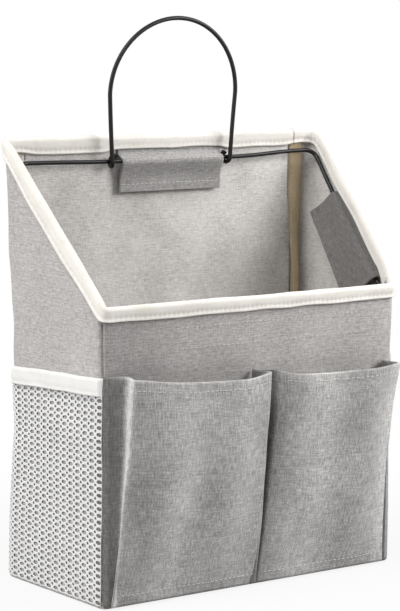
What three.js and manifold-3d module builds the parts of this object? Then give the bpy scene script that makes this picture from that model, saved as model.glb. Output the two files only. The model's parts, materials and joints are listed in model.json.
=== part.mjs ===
// Bedside caddy: a sewn fabric bag with a low front and a high back. A bent wire frame is held
// under the rim by four fabric tabs, and a wire bail on the frame's rear rod hangs the bag up.
// Millimetres. The origin is the centre of the bottom panel's underside.
// +X is to the user's right, +Y to the back and +Z up.
import * as THREE from 'three';
import Module from 'manifold-3d';

// Bag
const FRONT_WIDTH = 200;
const BACK_WIDTH = 218;
const DEPTH = 95;
const FRONT_HEIGHT = 168;
const BACK_HEIGHT = 254;
const BACK_RIM_FLAT = 9;
const BACK_RIM_EASE = 7;
const FRONT_CORNER_RADIUS = 3;
const BACK_CORNER_RADIUS = 9;
const BACK_SEAM_INSET = 15.5;
const FABRIC = 1.2;
const SEAM_GAP = 0.3;

// Binding and seam tapes
const BINDING_HEIGHT = 7.4;
const BINDING_TAPE = 0.8;
const SEAM_TAPE_WIDTH = 11;
const SEAM_TAPE = 1.5;
const SEAM_TAPE_EASE = 0.5;
const FLOOR_TAPE_HEIGHT = 8;
const FLOOR_TAPE = 1.0;
const TAPE_END_GAP = 2;

// Wire frame and bail
const WIRE_DIAMETER = 2.6;
const FRAME_BEND_RADIUS = 6;
const REAR_ROD_DROP = 14.5;
const FRONT_ROD_DROP = 8;
const REAR_ROD_EYE_ROOM = 0.8;
const BAIL_EYE_SPACING = 85;
const BAIL_ARCH_RADIUS = 44;
const BAIL_LEG = 39.2;
const BAIL_EYE_WRAP = 300;
const BAIL_EYE_PITCH = 3.6;

// Tabs with hook and loop tape
const STRAP = 1.0;
const TAB_LENGTH = 25;
const BACK_TAB_WIDTH = 71;
const SIDE_TAB_WIDTH = 68;
const FRONT_TAB_WIDTH = 124;
const SIDE_TAB_SETBACK = 34.5;
const SIDE_TAB_OPEN_ANGLE = 20;
const TOUCH_TAPE = 1.0;
const TOUCH_TAPE_HEIGHT = 11;
const TOUCH_TAPE_MARGIN = 2;
const TAB_SETTLE = 2.4;

// Front pockets
const POCKET_FABRIC = 0.9;
const POCKET_EDGE_INSET = 3;
const POCKET_STAND_OFF = 14;
const POCKET_HEM_STAND_OFF = 2.6;
const POCKET_FOLD_INSET = 5.3;
const POCKET_PLEAT_DEPTH = 13;
const POCKET_HEM_PLEAT_DEPTH = 3;
const POCKET_PLEAT_STAND_OFF = 4;
const POCKET_CENTRE_GAP = 0.8;
const POCKET_INNER_PLEAT_DEPTH = 9;
const POCKET_RAMP = 14;
const POCKET_HEM_HEIGHT = 6;
const POCKET_MOUTH_SAG = 4.5;
const LEFT_POCKET_OUTER_HEIGHT = 130.8;
const LEFT_POCKET_INNER_HEIGHT = 127.9;
const RIGHT_POCKET_OUTER_HEIGHT = 122.6;
const RIGHT_POCKET_INNER_HEIGHT = 125;

// Side net pockets
const NET = 0.8;
const NET_STRAND = 3;
const NET_COLUMNS = 9;
const NET_ROWS = 12;
const NET_BAND_HEIGHT = 10;
const NET_BAND = 1.4;
const NET_BAND_EDGE = 0.3;
const NET_FRONT_HEIGHT = 130.7;
const NET_BACK_HEIGHT = 124.4;

// Colours
const CLOTH = { color: 0xa5a29f, roughness: 0.95 };
const TAB_CLOTH = { color: 0x8c8986, roughness: 0.95 };
const CREAM_TAPE = { color: 0xe4dfd5, roughness: 0.9 };
const BEIGE_TAPE = { color: 0xb0a48c, roughness: 0.9 };
const MESH_CLOTH = { color: 0xdcdcdb, roughness: 0.85 };
const TOUCH_FASTENER = { color: 0x77746f, roughness: 1.0 };
const BLACK_WIRE = { color: 0x141210, roughness: 0.35, metalness: 0.6 };

const ARC_STEPS = 6;
const SIDE_STEPS = 14;
const WIRE_SIDES = 8;
const CROWN_STEPS = 6;
const EYE_STEPS = 12;
const LEG_STEPS = 1;
const ARCH_STEPS = 22;
const FACE_STEPS = 8;
const FULL_TURN = 360;

const group = new THREE.Group();
const wasm = await Module();
wasm.setup();

function addMesh(parent, name, geometry, finish) {
  const mesh = new THREE.Mesh(geometry, new THREE.MeshStandardMaterial(finish));
  mesh.name = name;
  parent.add(mesh);
  return mesh;
}

// Closed body through rings of points, either capped at both ends or joined end to start
function loft(rings, closed = false) {
  const size = rings[0].length;
  const points = rings.flat();
  const triangles = [];
  const spans = closed ? rings.length : rings.length - 1;
  for (let span = 0; span < spans; span += 1) {
    const near = span * size;
    const far = ((span + 1) % rings.length) * size;
    for (let corner = 0; corner < size; corner += 1) {
      const next = (corner + 1) % size;
      triangles.push([near + corner, near + next, far + next]);
      triangles.push([near + corner, far + next, far + corner]);
    }
  }
  if (!closed) {
    const last = (rings.length - 1) * size;
    const firstCap = capTriangles(rings[0]);
    const lastCap = capTriangles(rings[rings.length - 1]);
    firstCap.forEach(([a, b, c]) => triangles.push([a, c, b]));
    lastCap.forEach(([a, b, c]) => triangles.push([last + a, last + b, last + c]));
  }
  return solid(points, triangles);
}

// Cap of one ring, wound the same way round as the ring itself
function capTriangles(ring) {
  const normal = new THREE.Vector3();
  ring.forEach((point, index) => normal.add(point.clone().cross(ring[(index + 1) % ring.length])));
  normal.normalize();
  const across = ring[1].clone().sub(ring[0]).normalize();
  const upward = normal.clone().cross(across);
  const flat = ring.map((point) => new THREE.Vector2(point.dot(across), point.dot(upward)));
  return THREE.ShapeUtils.triangulateShape(flat, []);
}

// Indexed geometry with its faces turned to point outwards
function solid(points, triangles) {
  let volume = 0;
  triangles.forEach(([a, b, c]) => {
    volume += points[a].dot(points[b].clone().cross(points[c]));
  });
  const turned = volume < 0 ? triangles.map(([a, b, c]) => [a, c, b]) : triangles;
  const positions = points.flatMap((point) => point.toArray());
  const geometry = new THREE.BufferGeometry();
  geometry.setAttribute('position', new THREE.Float32BufferAttribute(positions, 3));
  geometry.setIndex(turned.flat());
  return geometry;
}

function toManifold(geometry) {
  const vertProperties = new Float32Array(geometry.attributes.position.array);
  const triVerts = new Uint32Array(geometry.index.array);
  return new wasm.Manifold(new wasm.Mesh({ numProp: 3, vertProperties, triVerts }));
}

function fromManifold(manifold) {
  const mesh = manifold.getMesh();
  const geometry = new THREE.BufferGeometry();
  geometry.setAttribute('position', new THREE.BufferAttribute(mesh.vertProperties, 3));
  geometry.setIndex(new THREE.BufferAttribute(mesh.triVerts, 1));
  return geometry;
}

// Plan of the bag: stations run anticlockwise on the outer face, each with its outward direction
const upright = new THREE.Vector3(0, 0, 1);
const halfFront = FRONT_WIDTH / 2;
const halfBack = BACK_WIDTH / 2;
const frontY = -DEPTH / 2;
const backY = DEPTH / 2;
const flare = Math.atan2(halfBack - halfFront, DEPTH);
const halfWidth = (y) => halfFront + (y - frontY) * Math.tan(flare);

function station(x, y, outX, outY) {
  return { point: new THREE.Vector3(x, y, 0), out: new THREE.Vector3(outX, outY, 0) };
}

function arc(centreX, centreY, radius, from, to) {
  return Array.from({ length: ARC_STEPS + 1 }, (_, step) => {
    const angle = from + ((to - from) * step) / ARC_STEPS;
    const outX = Math.cos(angle);
    const outY = Math.sin(angle);
    return station(centreX + radius * outX, centreY + radius * outY, outX, outY);
  });
}

function mirrored(run) {
  return run.map(({ point, out }) => station(-point.x, point.y, -out.x, out.y)).reverse();
}

const frontArcY = frontY + FRONT_CORNER_RADIUS;
const backArcY = backY - BACK_CORNER_RADIUS;
const frontArcX = halfWidth(frontArcY) - FRONT_CORNER_RADIUS / Math.cos(flare);
const backArcX = halfWidth(backArcY) - BACK_CORNER_RADIUS / Math.cos(flare);
const rightFrontArc = arc(frontArcX, frontArcY, FRONT_CORNER_RADIUS, -Math.PI / 2, -flare);
const rightBackArc = arc(backArcX, backArcY, BACK_CORNER_RADIUS, -flare, Math.PI / 2);
const seamX = halfBack - BACK_SEAM_INSET;
const sideStart = rightFrontArc[ARC_STEPS];
const sideLength = sideStart.point.distanceTo(rightBackArc[0].point);
const sideAlong = rightBackArc[0].point.clone().sub(sideStart.point).normalize();

function sideStation(distance) {
  const point = sideStart.point.clone().addScaledVector(sideAlong, distance);
  return station(point.x, point.y, sideStart.out.x, sideStart.out.y);
}

const sideInner = Array.from({ length: SIDE_STEPS - 1 }, (_, step) => {
  return sideStation((sideLength * (step + 1)) / SIDE_STEPS);
});
const rightRun = [sideStation(SEAM_GAP), ...sideInner, ...rightBackArc, station(seamX, backY, 0, 1)];
const frontRun = [...mirrored(rightFrontArc), ...rightFrontArc];
const backRun = [station(seamX - SEAM_GAP, backY, 0, 1), station(SEAM_GAP - seamX, backY, 0, 1)];
const wholeRun = [
  ...frontRun, ...sideInner, ...rightBackArc, ...mirrored(rightBackArc), ...mirrored(sideInner),
];

// Rim: straight along the front, a steady slope up both sides and level along the back
const rimBendY = backY - BACK_RIM_FLAT;
const rimSlope = (BACK_HEIGHT - FRONT_HEIGHT) / (rimBendY - frontY);

function rimHeight(y) {
  const straight = FRONT_HEIGHT + rimSlope * (y - frontY);
  const past = y - (rimBendY - BACK_RIM_EASE);
  if (past <= 0) {
    return straight;
  }
  if (past >= 2 * BACK_RIM_EASE) {
    return BACK_HEIGHT;
  }
  return straight - (rimSlope * past * past) / (4 * BACK_RIM_EASE);
}

// Panels: one thickness of cloth from just above the bottom panel to inside the binding's fold
const wallBottom = FABRIC + SEAM_GAP;
const crownRadius = FABRIC / 2 + SEAM_GAP + BINDING_TAPE;
const crownDrop = crownRadius * Math.hypot(1, rimSlope);

function wallStrip(run, outer, inner, bottom, top) {
  const rings = run.map(({ point, out }) => {
    const outside = point.clone().addScaledVector(out, outer);
    const inside = point.clone().addScaledVector(out, inner);
    return [
      outside.clone().setZ(bottom),
      outside.clone().setZ(top(point.y)),
      inside.clone().setZ(top(point.y)),
      inside.clone().setZ(bottom),
    ];
  });
  return loft(rings);
}

const panelTop = (y) => rimHeight(y) - crownDrop;
addMesh(group, 'front_panel', wallStrip(frontRun, 0, -FABRIC, wallBottom, panelTop), CLOTH);
addMesh(group, 'back_panel', wallStrip(backRun, 0, -FABRIC, wallBottom, panelTop), CLOTH);
addMesh(group, 'right_panel', wallStrip(rightRun, 0, -FABRIC, wallBottom, panelTop), CLOTH);
addMesh(group, 'left_panel', wallStrip(mirrored(rightRun), 0, -FABRIC, wallBottom, panelTop), CLOTH);

const bottomCorners = wholeRun.map(({ point }) => new THREE.Vector2(point.x, point.y));
const bottomShape = new THREE.Shape(bottomCorners);
const bottomGeometry = new THREE.ExtrudeGeometry(bottomShape, { depth: FABRIC, bevelEnabled: false });
addMesh(group, 'bottom_panel', bottomGeometry, CLOTH);

// Closed sweep of a section, given as offsets outwards and upwards, round a loop of stations
function sweepLoop(loop, section) {
  const rings = loop.map(({ point, out, up }) => section.map(([outward, upward]) => {
    return point.clone().addScaledVector(out, outward).addScaledVector(up, upward);
  }));
  return loft(rings, true);
}

// Rim binding: a tape folded over the panels' top edges, with a rounded fold. Its section stays
// upright and is drawn out on the slopes, so that the tape keeps its width along them.
const rimLoop = wholeRun.map(({ point, out }) => {
  return { point: point.clone().setZ(rimHeight(point.y)), out };
});
rimLoop.forEach((place, index) => {
  const before = rimLoop[(index + rimLoop.length - 1) % rimLoop.length].point;
  const after = rimLoop[(index + 1) % rimLoop.length].point;
  const run = Math.hypot(after.x - before.x, after.y - before.y);
  place.up = upright.clone().multiplyScalar(Math.hypot(1, (after.z - before.z) / run));
});

function crownArc(radius, from, to) {
  return Array.from({ length: CROWN_STEPS + 1 }, (_, step) => {
    const angle = from + ((to - from) * step) / CROWN_STEPS;
    return [radius * Math.cos(angle) - FABRIC / 2, radius * Math.sin(angle) - crownRadius];
  });
}

const foldRadius = crownRadius - BINDING_TAPE;
const bindingSection = [
  [crownRadius - FABRIC / 2, -BINDING_HEIGHT],
  ...crownArc(crownRadius, 0, Math.PI),
  [-crownRadius - FABRIC / 2, -BINDING_HEIGHT],
  [-foldRadius - FABRIC / 2, -BINDING_HEIGHT],
  ...crownArc(foldRadius, Math.PI, 0),
  [foldRadius - FABRIC / 2, -BINDING_HEIGHT],
];
addMesh(group, 'rim_binding', sweepLoop(rimLoop, bindingSection), CREAM_TAPE);

// Floor seam tape: covers the seam between the bottom panel and the walls on the inside
const floorLoop = wholeRun.map(({ point, out }) => ({ point, out, up: upright }));
const floorTapeOuter = -FABRIC - SEAM_GAP;
const floorTapeTop = wallBottom + FLOOR_TAPE_HEIGHT;
const floorTapeSection = [
  [floorTapeOuter, wallBottom],
  [floorTapeOuter, floorTapeTop],
  [floorTapeOuter - FLOOR_TAPE, floorTapeTop],
  [floorTapeOuter - FLOOR_TAPE, wallBottom],
];
addMesh(group, 'floor_seam_tape', sweepLoop(floorLoop, floorTapeSection), BEIGE_TAPE);

// Wire frame: a closed rounded trapezium in a tilted plane, level with its rear rod
const wireRadius = WIRE_DIAMETER / 2;
const bindingInner = FABRIC + SEAM_GAP + BINDING_TAPE;
const frameOffset = bindingInner + SEAM_GAP + wireRadius;
const eyeRadius = WIRE_DIAMETER + SEAM_GAP;
const rearRodOffset = FABRIC + SEAM_GAP + eyeRadius + wireRadius + REAR_ROD_EYE_ROOM;
const rearRodY = backY - rearRodOffset;
const rearRodZ = BACK_HEIGHT - REAR_ROD_DROP;
const frontRodY = frontY + frameOffset;
const frontRodZ = FRONT_HEIGHT - FRONT_ROD_DROP;
const frameTilt = Math.atan2(rearRodZ - frontRodZ, rearRodY - frontRodY);
const frameReach = Math.hypot(rearRodZ - frontRodZ, rearRodY - frontRodY);
const frameHalf = (y) => halfWidth(y) - frameOffset / Math.cos(flare);
const frameFlare = Math.atan2(frameHalf(rearRodY) - frameHalf(frontRodY), frameReach);

function frameArc(localY, radius, side, from, to) {
  const centreY = localY + side * radius;
  const along = (centreY + frameReach) / frameReach;
  const half = frameHalf(frontRodY) + (frameHalf(rearRodY) - frameHalf(frontRodY)) * along;
  return arc(half - radius / Math.cos(frameFlare), centreY, radius, from, to);
}

const frameFrontArc = frameArc(-frameReach, FRAME_BEND_RADIUS, 1, -Math.PI / 2, -frameFlare);
const frameRearArc = frameArc(0, FRAME_BEND_RADIUS, -1, -frameFlare, Math.PI / 2);
const frameLoop = [
  ...mirrored(frameFrontArc), ...frameFrontArc, ...frameRearArc, ...mirrored(frameRearArc),
].map(({ point, out }) => ({ point, out, up: upright }));
const wireSection = Array.from({ length: WIRE_SIDES }, (_, side) => {
  const angle = ((side + 0.5) * 2 * Math.PI) / WIRE_SIDES;
  return [wireRadius * Math.cos(angle), wireRadius * Math.sin(angle)];
});
const frameGroup = new THREE.Group();
frameGroup.position.set(0, rearRodY, rearRodZ);
frameGroup.rotation.x = frameTilt;
group.add(frameGroup);
addMesh(frameGroup, 'wire_frame', sweepLoop(frameLoop, wireSection), BLACK_WIRE);

// Bail: one wire, an arch on two legs, each ending in an eye wrapped round the rear rod
class BailCurve extends THREE.Curve {
  constructor() {
    super();
    this.stages = [
      { steps: EYE_STEPS, at: (t) => this.eye(-1, 1 - t) },
      { steps: LEG_STEPS, at: (t) => this.leg(-1, 1 - t) },
      { steps: ARCH_STEPS, at: (t) => this.arch(t) },
      { steps: LEG_STEPS, at: (t) => this.leg(1, t) },
      { steps: EYE_STEPS, at: (t) => this.eye(1, t) },
    ];
    this.steps = this.stages.reduce((sum, stage) => sum + stage.steps, 0);
  }

  eye(side, t) {
    const turn = THREE.MathUtils.degToRad(BAIL_EYE_WRAP) * t;
    const shift = (BAIL_EYE_PITCH * BAIL_EYE_WRAP * t) / FULL_TURN;
    const y = -eyeRadius * Math.cos(turn);
    const z = -eyeRadius * Math.sin(turn);
    return new THREE.Vector3(side * (BAIL_EYE_SPACING / 2 - shift), y, z);
  }

  leg(side, t) {
    const x = BAIL_ARCH_RADIUS + (BAIL_EYE_SPACING / 2 - BAIL_ARCH_RADIUS) * t;
    return new THREE.Vector3(side * x, -eyeRadius, BAIL_LEG * (1 - t));
  }

  arch(t) {
    const angle = Math.PI * (1 - t);
    const x = BAIL_ARCH_RADIUS * Math.cos(angle);
    return new THREE.Vector3(x, -eyeRadius, BAIL_LEG + BAIL_ARCH_RADIUS * Math.sin(angle));
  }

  // Steps are shared out by stage, so the tight eyes get as many as they need
  getPoint(t) {
    let step = t * this.steps;
    for (const stage of this.stages) {
      if (step <= stage.steps) {
        return stage.at(step / stage.steps);
      }
      step -= stage.steps;
    }
    return this.stages[this.stages.length - 1].at(1);
  }

  getPointAt(t) {
    return this.getPoint(t);
  }

  getTangentAt(t) {
    return this.getTangent(t);
  }
}

const bailCurve = new BailCurve();
const wireShape = new THREE.Shape(wireSection.map(([x, y]) => new THREE.Vector2(x, y)));
const bailGeometry = new THREE.ExtrudeGeometry(wireShape, {
  steps: bailCurve.steps,
  extrudePath: bailCurve,
});
const bail = addMesh(group, 'hanging_bail', bailGeometry, BLACK_WIRE);
bail.position.set(0, rearRodY, rearRodZ);

// Tabs: each strap is sewn at the binding, wraps over the frame's rod and closes on the wall.
// The profile is drawn round the rod's centre, with x into the bag and y up along the wall.
const wrapRadius = wireRadius + SEAM_GAP + STRAP / 2;
const strapOffset = FABRIC + 3 * SEAM_GAP + 2 * TOUCH_TAPE + STRAP / 2;
const rootOffset = bindingInner + SEAM_GAP + STRAP / 2;

function tangentAngle(point, turn) {
  const away = Math.atan2(point.y, point.x);
  return away + turn * Math.acos(wrapRadius / point.length());
}

function strapProfile(root, settled, end) {
  const onto = tangentAngle(root, -1);
  const off = tangentAngle(settled, 1);
  const wrap = Array.from({ length: ARC_STEPS + 1 }, (_, step) => {
    const angle = onto + ((off - onto) * step) / ARC_STEPS;
    return new THREE.Vector2(wrapRadius * Math.cos(angle), wrapRadius * Math.sin(angle));
  });
  return thickened([root, ...wrap, settled, end], STRAP);
}

// Outline of a line of points given a thickness, with mitred corners
function thickened(line, thickness) {
  const edge = (side) => line.map((point, index) => {
    const before = line[Math.max(index - 1, 0)];
    const after = line[Math.min(index + 1, line.length - 1)];
    const into = (index > 0 ? point.clone().sub(before) : after.clone().sub(point)).normalize();
    const out = (index < line.length - 1 ? after.clone().sub(point) : into.clone()).normalize();
    const middle = into.clone().add(out).normalize();
    const reach = (side * thickness) / 2 / middle.dot(into);
    return new THREE.Vector2(point.x - middle.y * reach, point.y + middle.x * reach);
  });
  return new THREE.Shape([...edge(1), ...edge(-1).reverse()]);
}

function rectangle(left, right, bottom, top) {
  return new THREE.Shape([
    new THREE.Vector2(left, bottom),
    new THREE.Vector2(right, bottom),
    new THREE.Vector2(right, top),
    new THREE.Vector2(left, top),
  ]);
}

function band(shape, width) {
  const geometry = new THREE.ExtrudeGeometry(shape, { depth: width, bevelEnabled: false });
  return geometry.translate(0, 0, -width / 2);
}

function addTab({ name, width, centre, inward, up, rodOffset, rodDrop, openAngle }) {
  const place = new THREE.Group();
  const basis = new THREE.Matrix4().makeBasis(inward, up, inward.clone().cross(up));
  place.position.copy(centre);
  place.quaternion.setFromRotationMatrix(basis);
  group.add(place);

  const belowBinding = rodDrop - BINDING_HEIGHT - SEAM_GAP - STRAP / 2;
  const root = new THREE.Vector2(rootOffset - rodOffset, Math.max(wrapRadius, belowBinding));
  const settled = new THREE.Vector2(strapOffset - rodOffset, -wrapRadius - TAB_SETTLE);
  const end = new THREE.Vector2(settled.x, root.y - TAB_LENGTH);
  const tapeTop = end.y + TOUCH_TAPE_MARGIN + TOUCH_TAPE_HEIGHT;
  const tapeBottom = end.y + TOUCH_TAPE_MARGIN;
  const tapeWidth = width - 2 * TOUCH_TAPE_MARGIN;
  const hookRight = settled.x - STRAP / 2 - SEAM_GAP;
  const hookShape = rectangle(hookRight - TOUCH_TAPE, hookRight, tapeBottom, tapeTop);
  const loopLeft = FABRIC + SEAM_GAP - rodOffset;
  const loopShape = rectangle(loopLeft, loopLeft + TOUCH_TAPE, tapeBottom, tapeTop);

  const pivot = new THREE.Group();
  pivot.position.set(root.x, root.y, 0);
  pivot.rotation.z = THREE.MathUtils.degToRad(openAngle);
  place.add(pivot);
  const strap = band(strapProfile(root, settled, end), width).translate(-root.x, -root.y, 0);
  addMesh(pivot, `tab_${name}`, strap, TAB_CLOTH);
  const hook = band(hookShape, tapeWidth).translate(-root.x, -root.y, 0);
  addMesh(pivot, `hook_tape_${name}`, hook, TOUCH_FASTENER);
  addMesh(place, `loop_tape_${name}`, band(loopShape, tapeWidth), TOUCH_FASTENER);
}

addTab({
  name: 'back',
  width: BACK_TAB_WIDTH,
  centre: new THREE.Vector3(0, rearRodY, rearRodZ),
  inward: new THREE.Vector3(0, -1, 0),
  up: upright,
  rodOffset: rearRodOffset,
  rodDrop: REAR_ROD_DROP,
  openAngle: 0,
});
addTab({
  name: 'front',
  width: FRONT_TAB_WIDTH,
  centre: new THREE.Vector3(0, frontRodY, frontRodZ),
  inward: new THREE.Vector3(0, 1, 0),
  up: upright,
  rodOffset: frameOffset,
  rodDrop: FRONT_ROD_DROP,
  openAngle: 0,
});

const sideTabY = frontY + SIDE_TAB_SETBACK;
const sideTabZ = frontRodZ + (sideTabY - frontRodY) * Math.tan(frameTilt);
const sideRodDrop = (rimHeight(sideTabY) - sideTabZ) * Math.cos(Math.atan(rimSlope));
for (const [name, side] of [['left', -1], ['right', 1]]) {
  const rise = Math.tan(frameTilt) * Math.cos(flare);
  const inward = new THREE.Vector3(-side * Math.cos(flare), Math.sin(flare), 0);
  const alongRod = new THREE.Vector3(side * Math.sin(flare), Math.cos(flare), rise).normalize();
  const up = inward.clone().cross(alongRod).multiplyScalar(-side).normalize();
  addTab({
    name,
    width: SIDE_TAB_WIDTH,
    centre: new THREE.Vector3(side * frameHalf(sideTabY), sideTabY, sideTabZ),
    inward,
    up,
    rodOffset: frameOffset,
    rodDrop: sideRodDrop,
    openAngle: SIDE_TAB_OPEN_ANGLE,
  });
}

// Corner seam tapes: flat strips with eased edges that cover the upright seams on the inside
function tapeStrip(bottom, top) {
  const half = SEAM_TAPE_WIDTH / 2;
  const shape = new THREE.Shape([
    new THREE.Vector2(-half, 0),
    new THREE.Vector2(half, 0),
    new THREE.Vector2(half, SEAM_TAPE - SEAM_TAPE_EASE),
    new THREE.Vector2(half - SEAM_TAPE_EASE, SEAM_TAPE),
    new THREE.Vector2(SEAM_TAPE_EASE - half, SEAM_TAPE),
    new THREE.Vector2(-half, SEAM_TAPE - SEAM_TAPE_EASE),
  ]);
  const geometry = new THREE.ExtrudeGeometry(shape, { depth: top - bottom, bevelEnabled: false });
  return geometry.translate(0, 0, bottom);
}

const cornerTapeBottom = floorTapeTop + SEAM_GAP;
const backTapeTop = BACK_HEIGHT - BINDING_HEIGHT - SEAM_GAP;
const frontTapeTop = frontRodZ - wireRadius - TAPE_END_GAP;
const innerFace = FABRIC + SEAM_GAP;
for (const [name, side] of [['left', -1], ['right', 1]]) {
  const backStrip = tapeStrip(cornerTapeBottom, backTapeTop);
  const back = addMesh(group, `corner_tape_back_${name}`, backStrip, BEIGE_TAPE);
  back.position.set(side * seamX, backY - innerFace, 0);
  back.rotation.z = Math.PI;

  const frontPlace = sideStation(innerFace + SEAM_GAP + SEAM_TAPE_WIDTH / 2);
  const inside = frontPlace.point.clone().addScaledVector(frontPlace.out, -innerFace);
  const frontStrip = tapeStrip(cornerTapeBottom, frontTapeTop);
  const front = addMesh(group, `corner_tape_front_${name}`, frontStrip, BEIGE_TAPE);
  front.position.set(side * inside.x, inside.y, 0);
  front.rotation.z = side * (Math.PI / 2 - flare);
}

// Front pockets: a pleated patch sewn down at the corner, the centre seam and the bottom hem.
// Outline points hold the distance out from the bag's centre plane, the stand-off in front and,
// along the face, how far the mouth sags there.
const pocketEdge = halfFront - POCKET_EDGE_INSET;
const pocketBase = SEAM_GAP + POCKET_FABRIC;

function pocketFace(innerFold, outerFold, standOff, sag) {
  return Array.from({ length: FACE_STEPS + 1 }, (_, step) => {
    const share = step / FACE_STEPS;
    const across = innerFold + (outerFold - innerFold) * share;
    return [across, standOff, 4 * sag * share * (1 - share)];
  });
}

function pocketOutline({ inner, innerFold, standOff, pleatDepth, pleatStandOff, foldInset, sag }) {
  return [
    [POCKET_CENTRE_GAP, SEAM_GAP],
    [POCKET_CENTRE_GAP, pocketBase],
    ...inner,
    ...pocketFace(innerFold, pocketEdge - foldInset, standOff, sag),
    [pocketEdge - pleatDepth, pleatStandOff],
    [pocketEdge, pocketBase],
    [pocketEdge, SEAM_GAP],
  ];
}

function pocketRing(side, outline, outerHeight, innerHeight) {
  return outline.map(([across, standOff, drop = 0]) => {
    const share = (across - POCKET_CENTRE_GAP) / (pocketEdge - POCKET_CENTRE_GAP);
    const height = innerHeight + (outerHeight - innerHeight) * share;
    return new THREE.Vector3(side * across, frontY - standOff, height - drop);
  });
}

const hemPleat = (POCKET_HEM_STAND_OFF + pocketBase) / 2;

function addPocket({ name, side, mouthInner, hemInner, hollowInner, outerHeight, innerHeight }) {
  const mouth = pocketOutline({
    inner: mouthInner.pleat,
    innerFold: mouthInner.fold,
    standOff: POCKET_STAND_OFF,
    pleatDepth: POCKET_PLEAT_DEPTH,
    pleatStandOff: POCKET_PLEAT_STAND_OFF,
    foldInset: POCKET_FOLD_INSET,
    sag: POCKET_MOUTH_SAG,
  });
  const hem = pocketOutline({
    inner: hemInner.pleat,
    innerFold: hemInner.fold,
    standOff: POCKET_HEM_STAND_OFF,
    pleatDepth: POCKET_HEM_PLEAT_DEPTH,
    pleatStandOff: hemPleat,
    foldInset: (POCKET_FOLD_INSET * POCKET_HEM_PLEAT_DEPTH) / POCKET_PLEAT_DEPTH,
    sag: 0,
  });
  const patch = loft([
    pocketRing(side, hem, wallBottom, wallBottom),
    pocketRing(side, mouth, outerHeight, innerHeight),
  ]);

  // The hollow is open at the mouth and against the front panel
  const hollowOuter = pocketEdge - POCKET_PLEAT_DEPTH - POCKET_FABRIC;
  const hollowFace = POCKET_STAND_OFF - POCKET_FABRIC;
  const hemFace = POCKET_HEM_STAND_OFF - POCKET_FABRIC;
  const hollow = (innerEdge, face) => [
    [innerEdge, -FABRIC],
    [innerEdge + (side > 0 ? POCKET_RAMP : 0), face],
    [hollowOuter, face],
    [hollowOuter, -FABRIC],
  ];
  const cutter = loft([
    pocketRing(side, hollow(hollowInner, hemFace), POCKET_HEM_HEIGHT, POCKET_HEM_HEIGHT),
    pocketRing(side, hollow(hollowInner, hollowFace), outerHeight + FABRIC, innerHeight + FABRIC),
  ]);
  const shell = toManifold(patch).subtract(toManifold(cutter));
  addMesh(group, `front_pocket_${name}`, fromManifold(shell), CLOTH);
}

const innerPleat = POCKET_CENTRE_GAP + POCKET_INNER_PLEAT_DEPTH;
const innerHemPleat = POCKET_CENTRE_GAP + POCKET_HEM_PLEAT_DEPTH;
addPocket({
  name: 'left',
  side: -1,
  mouthInner: { pleat: [[innerPleat, POCKET_PLEAT_STAND_OFF]], fold: POCKET_CENTRE_GAP },
  hemInner: { pleat: [[innerHemPleat, hemPleat]], fold: POCKET_CENTRE_GAP },
  hollowInner: innerPleat + POCKET_FABRIC,
  outerHeight: LEFT_POCKET_OUTER_HEIGHT,
  innerHeight: LEFT_POCKET_INNER_HEIGHT,
});
addPocket({
  name: 'right',
  side: 1,
  mouthInner: { pleat: [], fold: POCKET_CENTRE_GAP + POCKET_RAMP },
  hemInner: { pleat: [], fold: innerHemPleat },
  hollowInner: innerHemPleat,
  outerHeight: RIGHT_POCKET_OUTER_HEIGHT,
  innerHeight: RIGHT_POCKET_INNER_HEIGHT,
});

// Side net pockets: an open mesh lying on the side panel, with a folded band along its mouth
const netTop = (along) => {
  const share = along / sideLength;
  return NET_FRONT_HEIGHT + (NET_BACK_HEIGHT - NET_FRONT_HEIGHT) * share - NET_BAND_HEIGHT - SEAM_GAP;
};

function netPoint(column, row) {
  const along = (sideLength * column) / NET_COLUMNS;
  return new THREE.Vector2(along, wallBottom + ((netTop(along) - wallBottom) * row) / NET_ROWS);
}

function netShape() {
  const columnShare = ((NET_STRAND / 2) * NET_COLUMNS) / sideLength;
  const rowShare = ((NET_STRAND / 2) * NET_ROWS) / (netTop(sideLength) - wallBottom);
  const shape = new THREE.Shape([
    netPoint(0, 0), netPoint(NET_COLUMNS, 0), netPoint(NET_COLUMNS, NET_ROWS), netPoint(0, NET_ROWS),
  ]);
  for (let column = 0; column < NET_COLUMNS; column += 1) {
    for (let row = 0; row < NET_ROWS; row += 1) {
      shape.holes.push(new THREE.Path([
        netPoint(column + columnShare, row + rowShare),
        netPoint(column + columnShare, row + 1 - rowShare),
        netPoint(column + 1 - columnShare, row + 1 - rowShare),
        netPoint(column + 1 - columnShare, row + rowShare),
      ]));
    }
  }
  return shape;
}

function bandShape() {
  const edge = NET_BAND_EDGE;
  const top = netTop(0) + SEAM_GAP + NET_BAND_HEIGHT;
  const rearTop = netTop(sideLength) + SEAM_GAP + NET_BAND_HEIGHT;
  return new THREE.Shape([
    new THREE.Vector2(edge, top - NET_BAND_HEIGHT + edge),
    new THREE.Vector2(sideLength - edge, rearTop - NET_BAND_HEIGHT + edge),
    new THREE.Vector2(sideLength - edge, rearTop - edge),
    new THREE.Vector2(edge, top - edge),
  ]);
}

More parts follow.
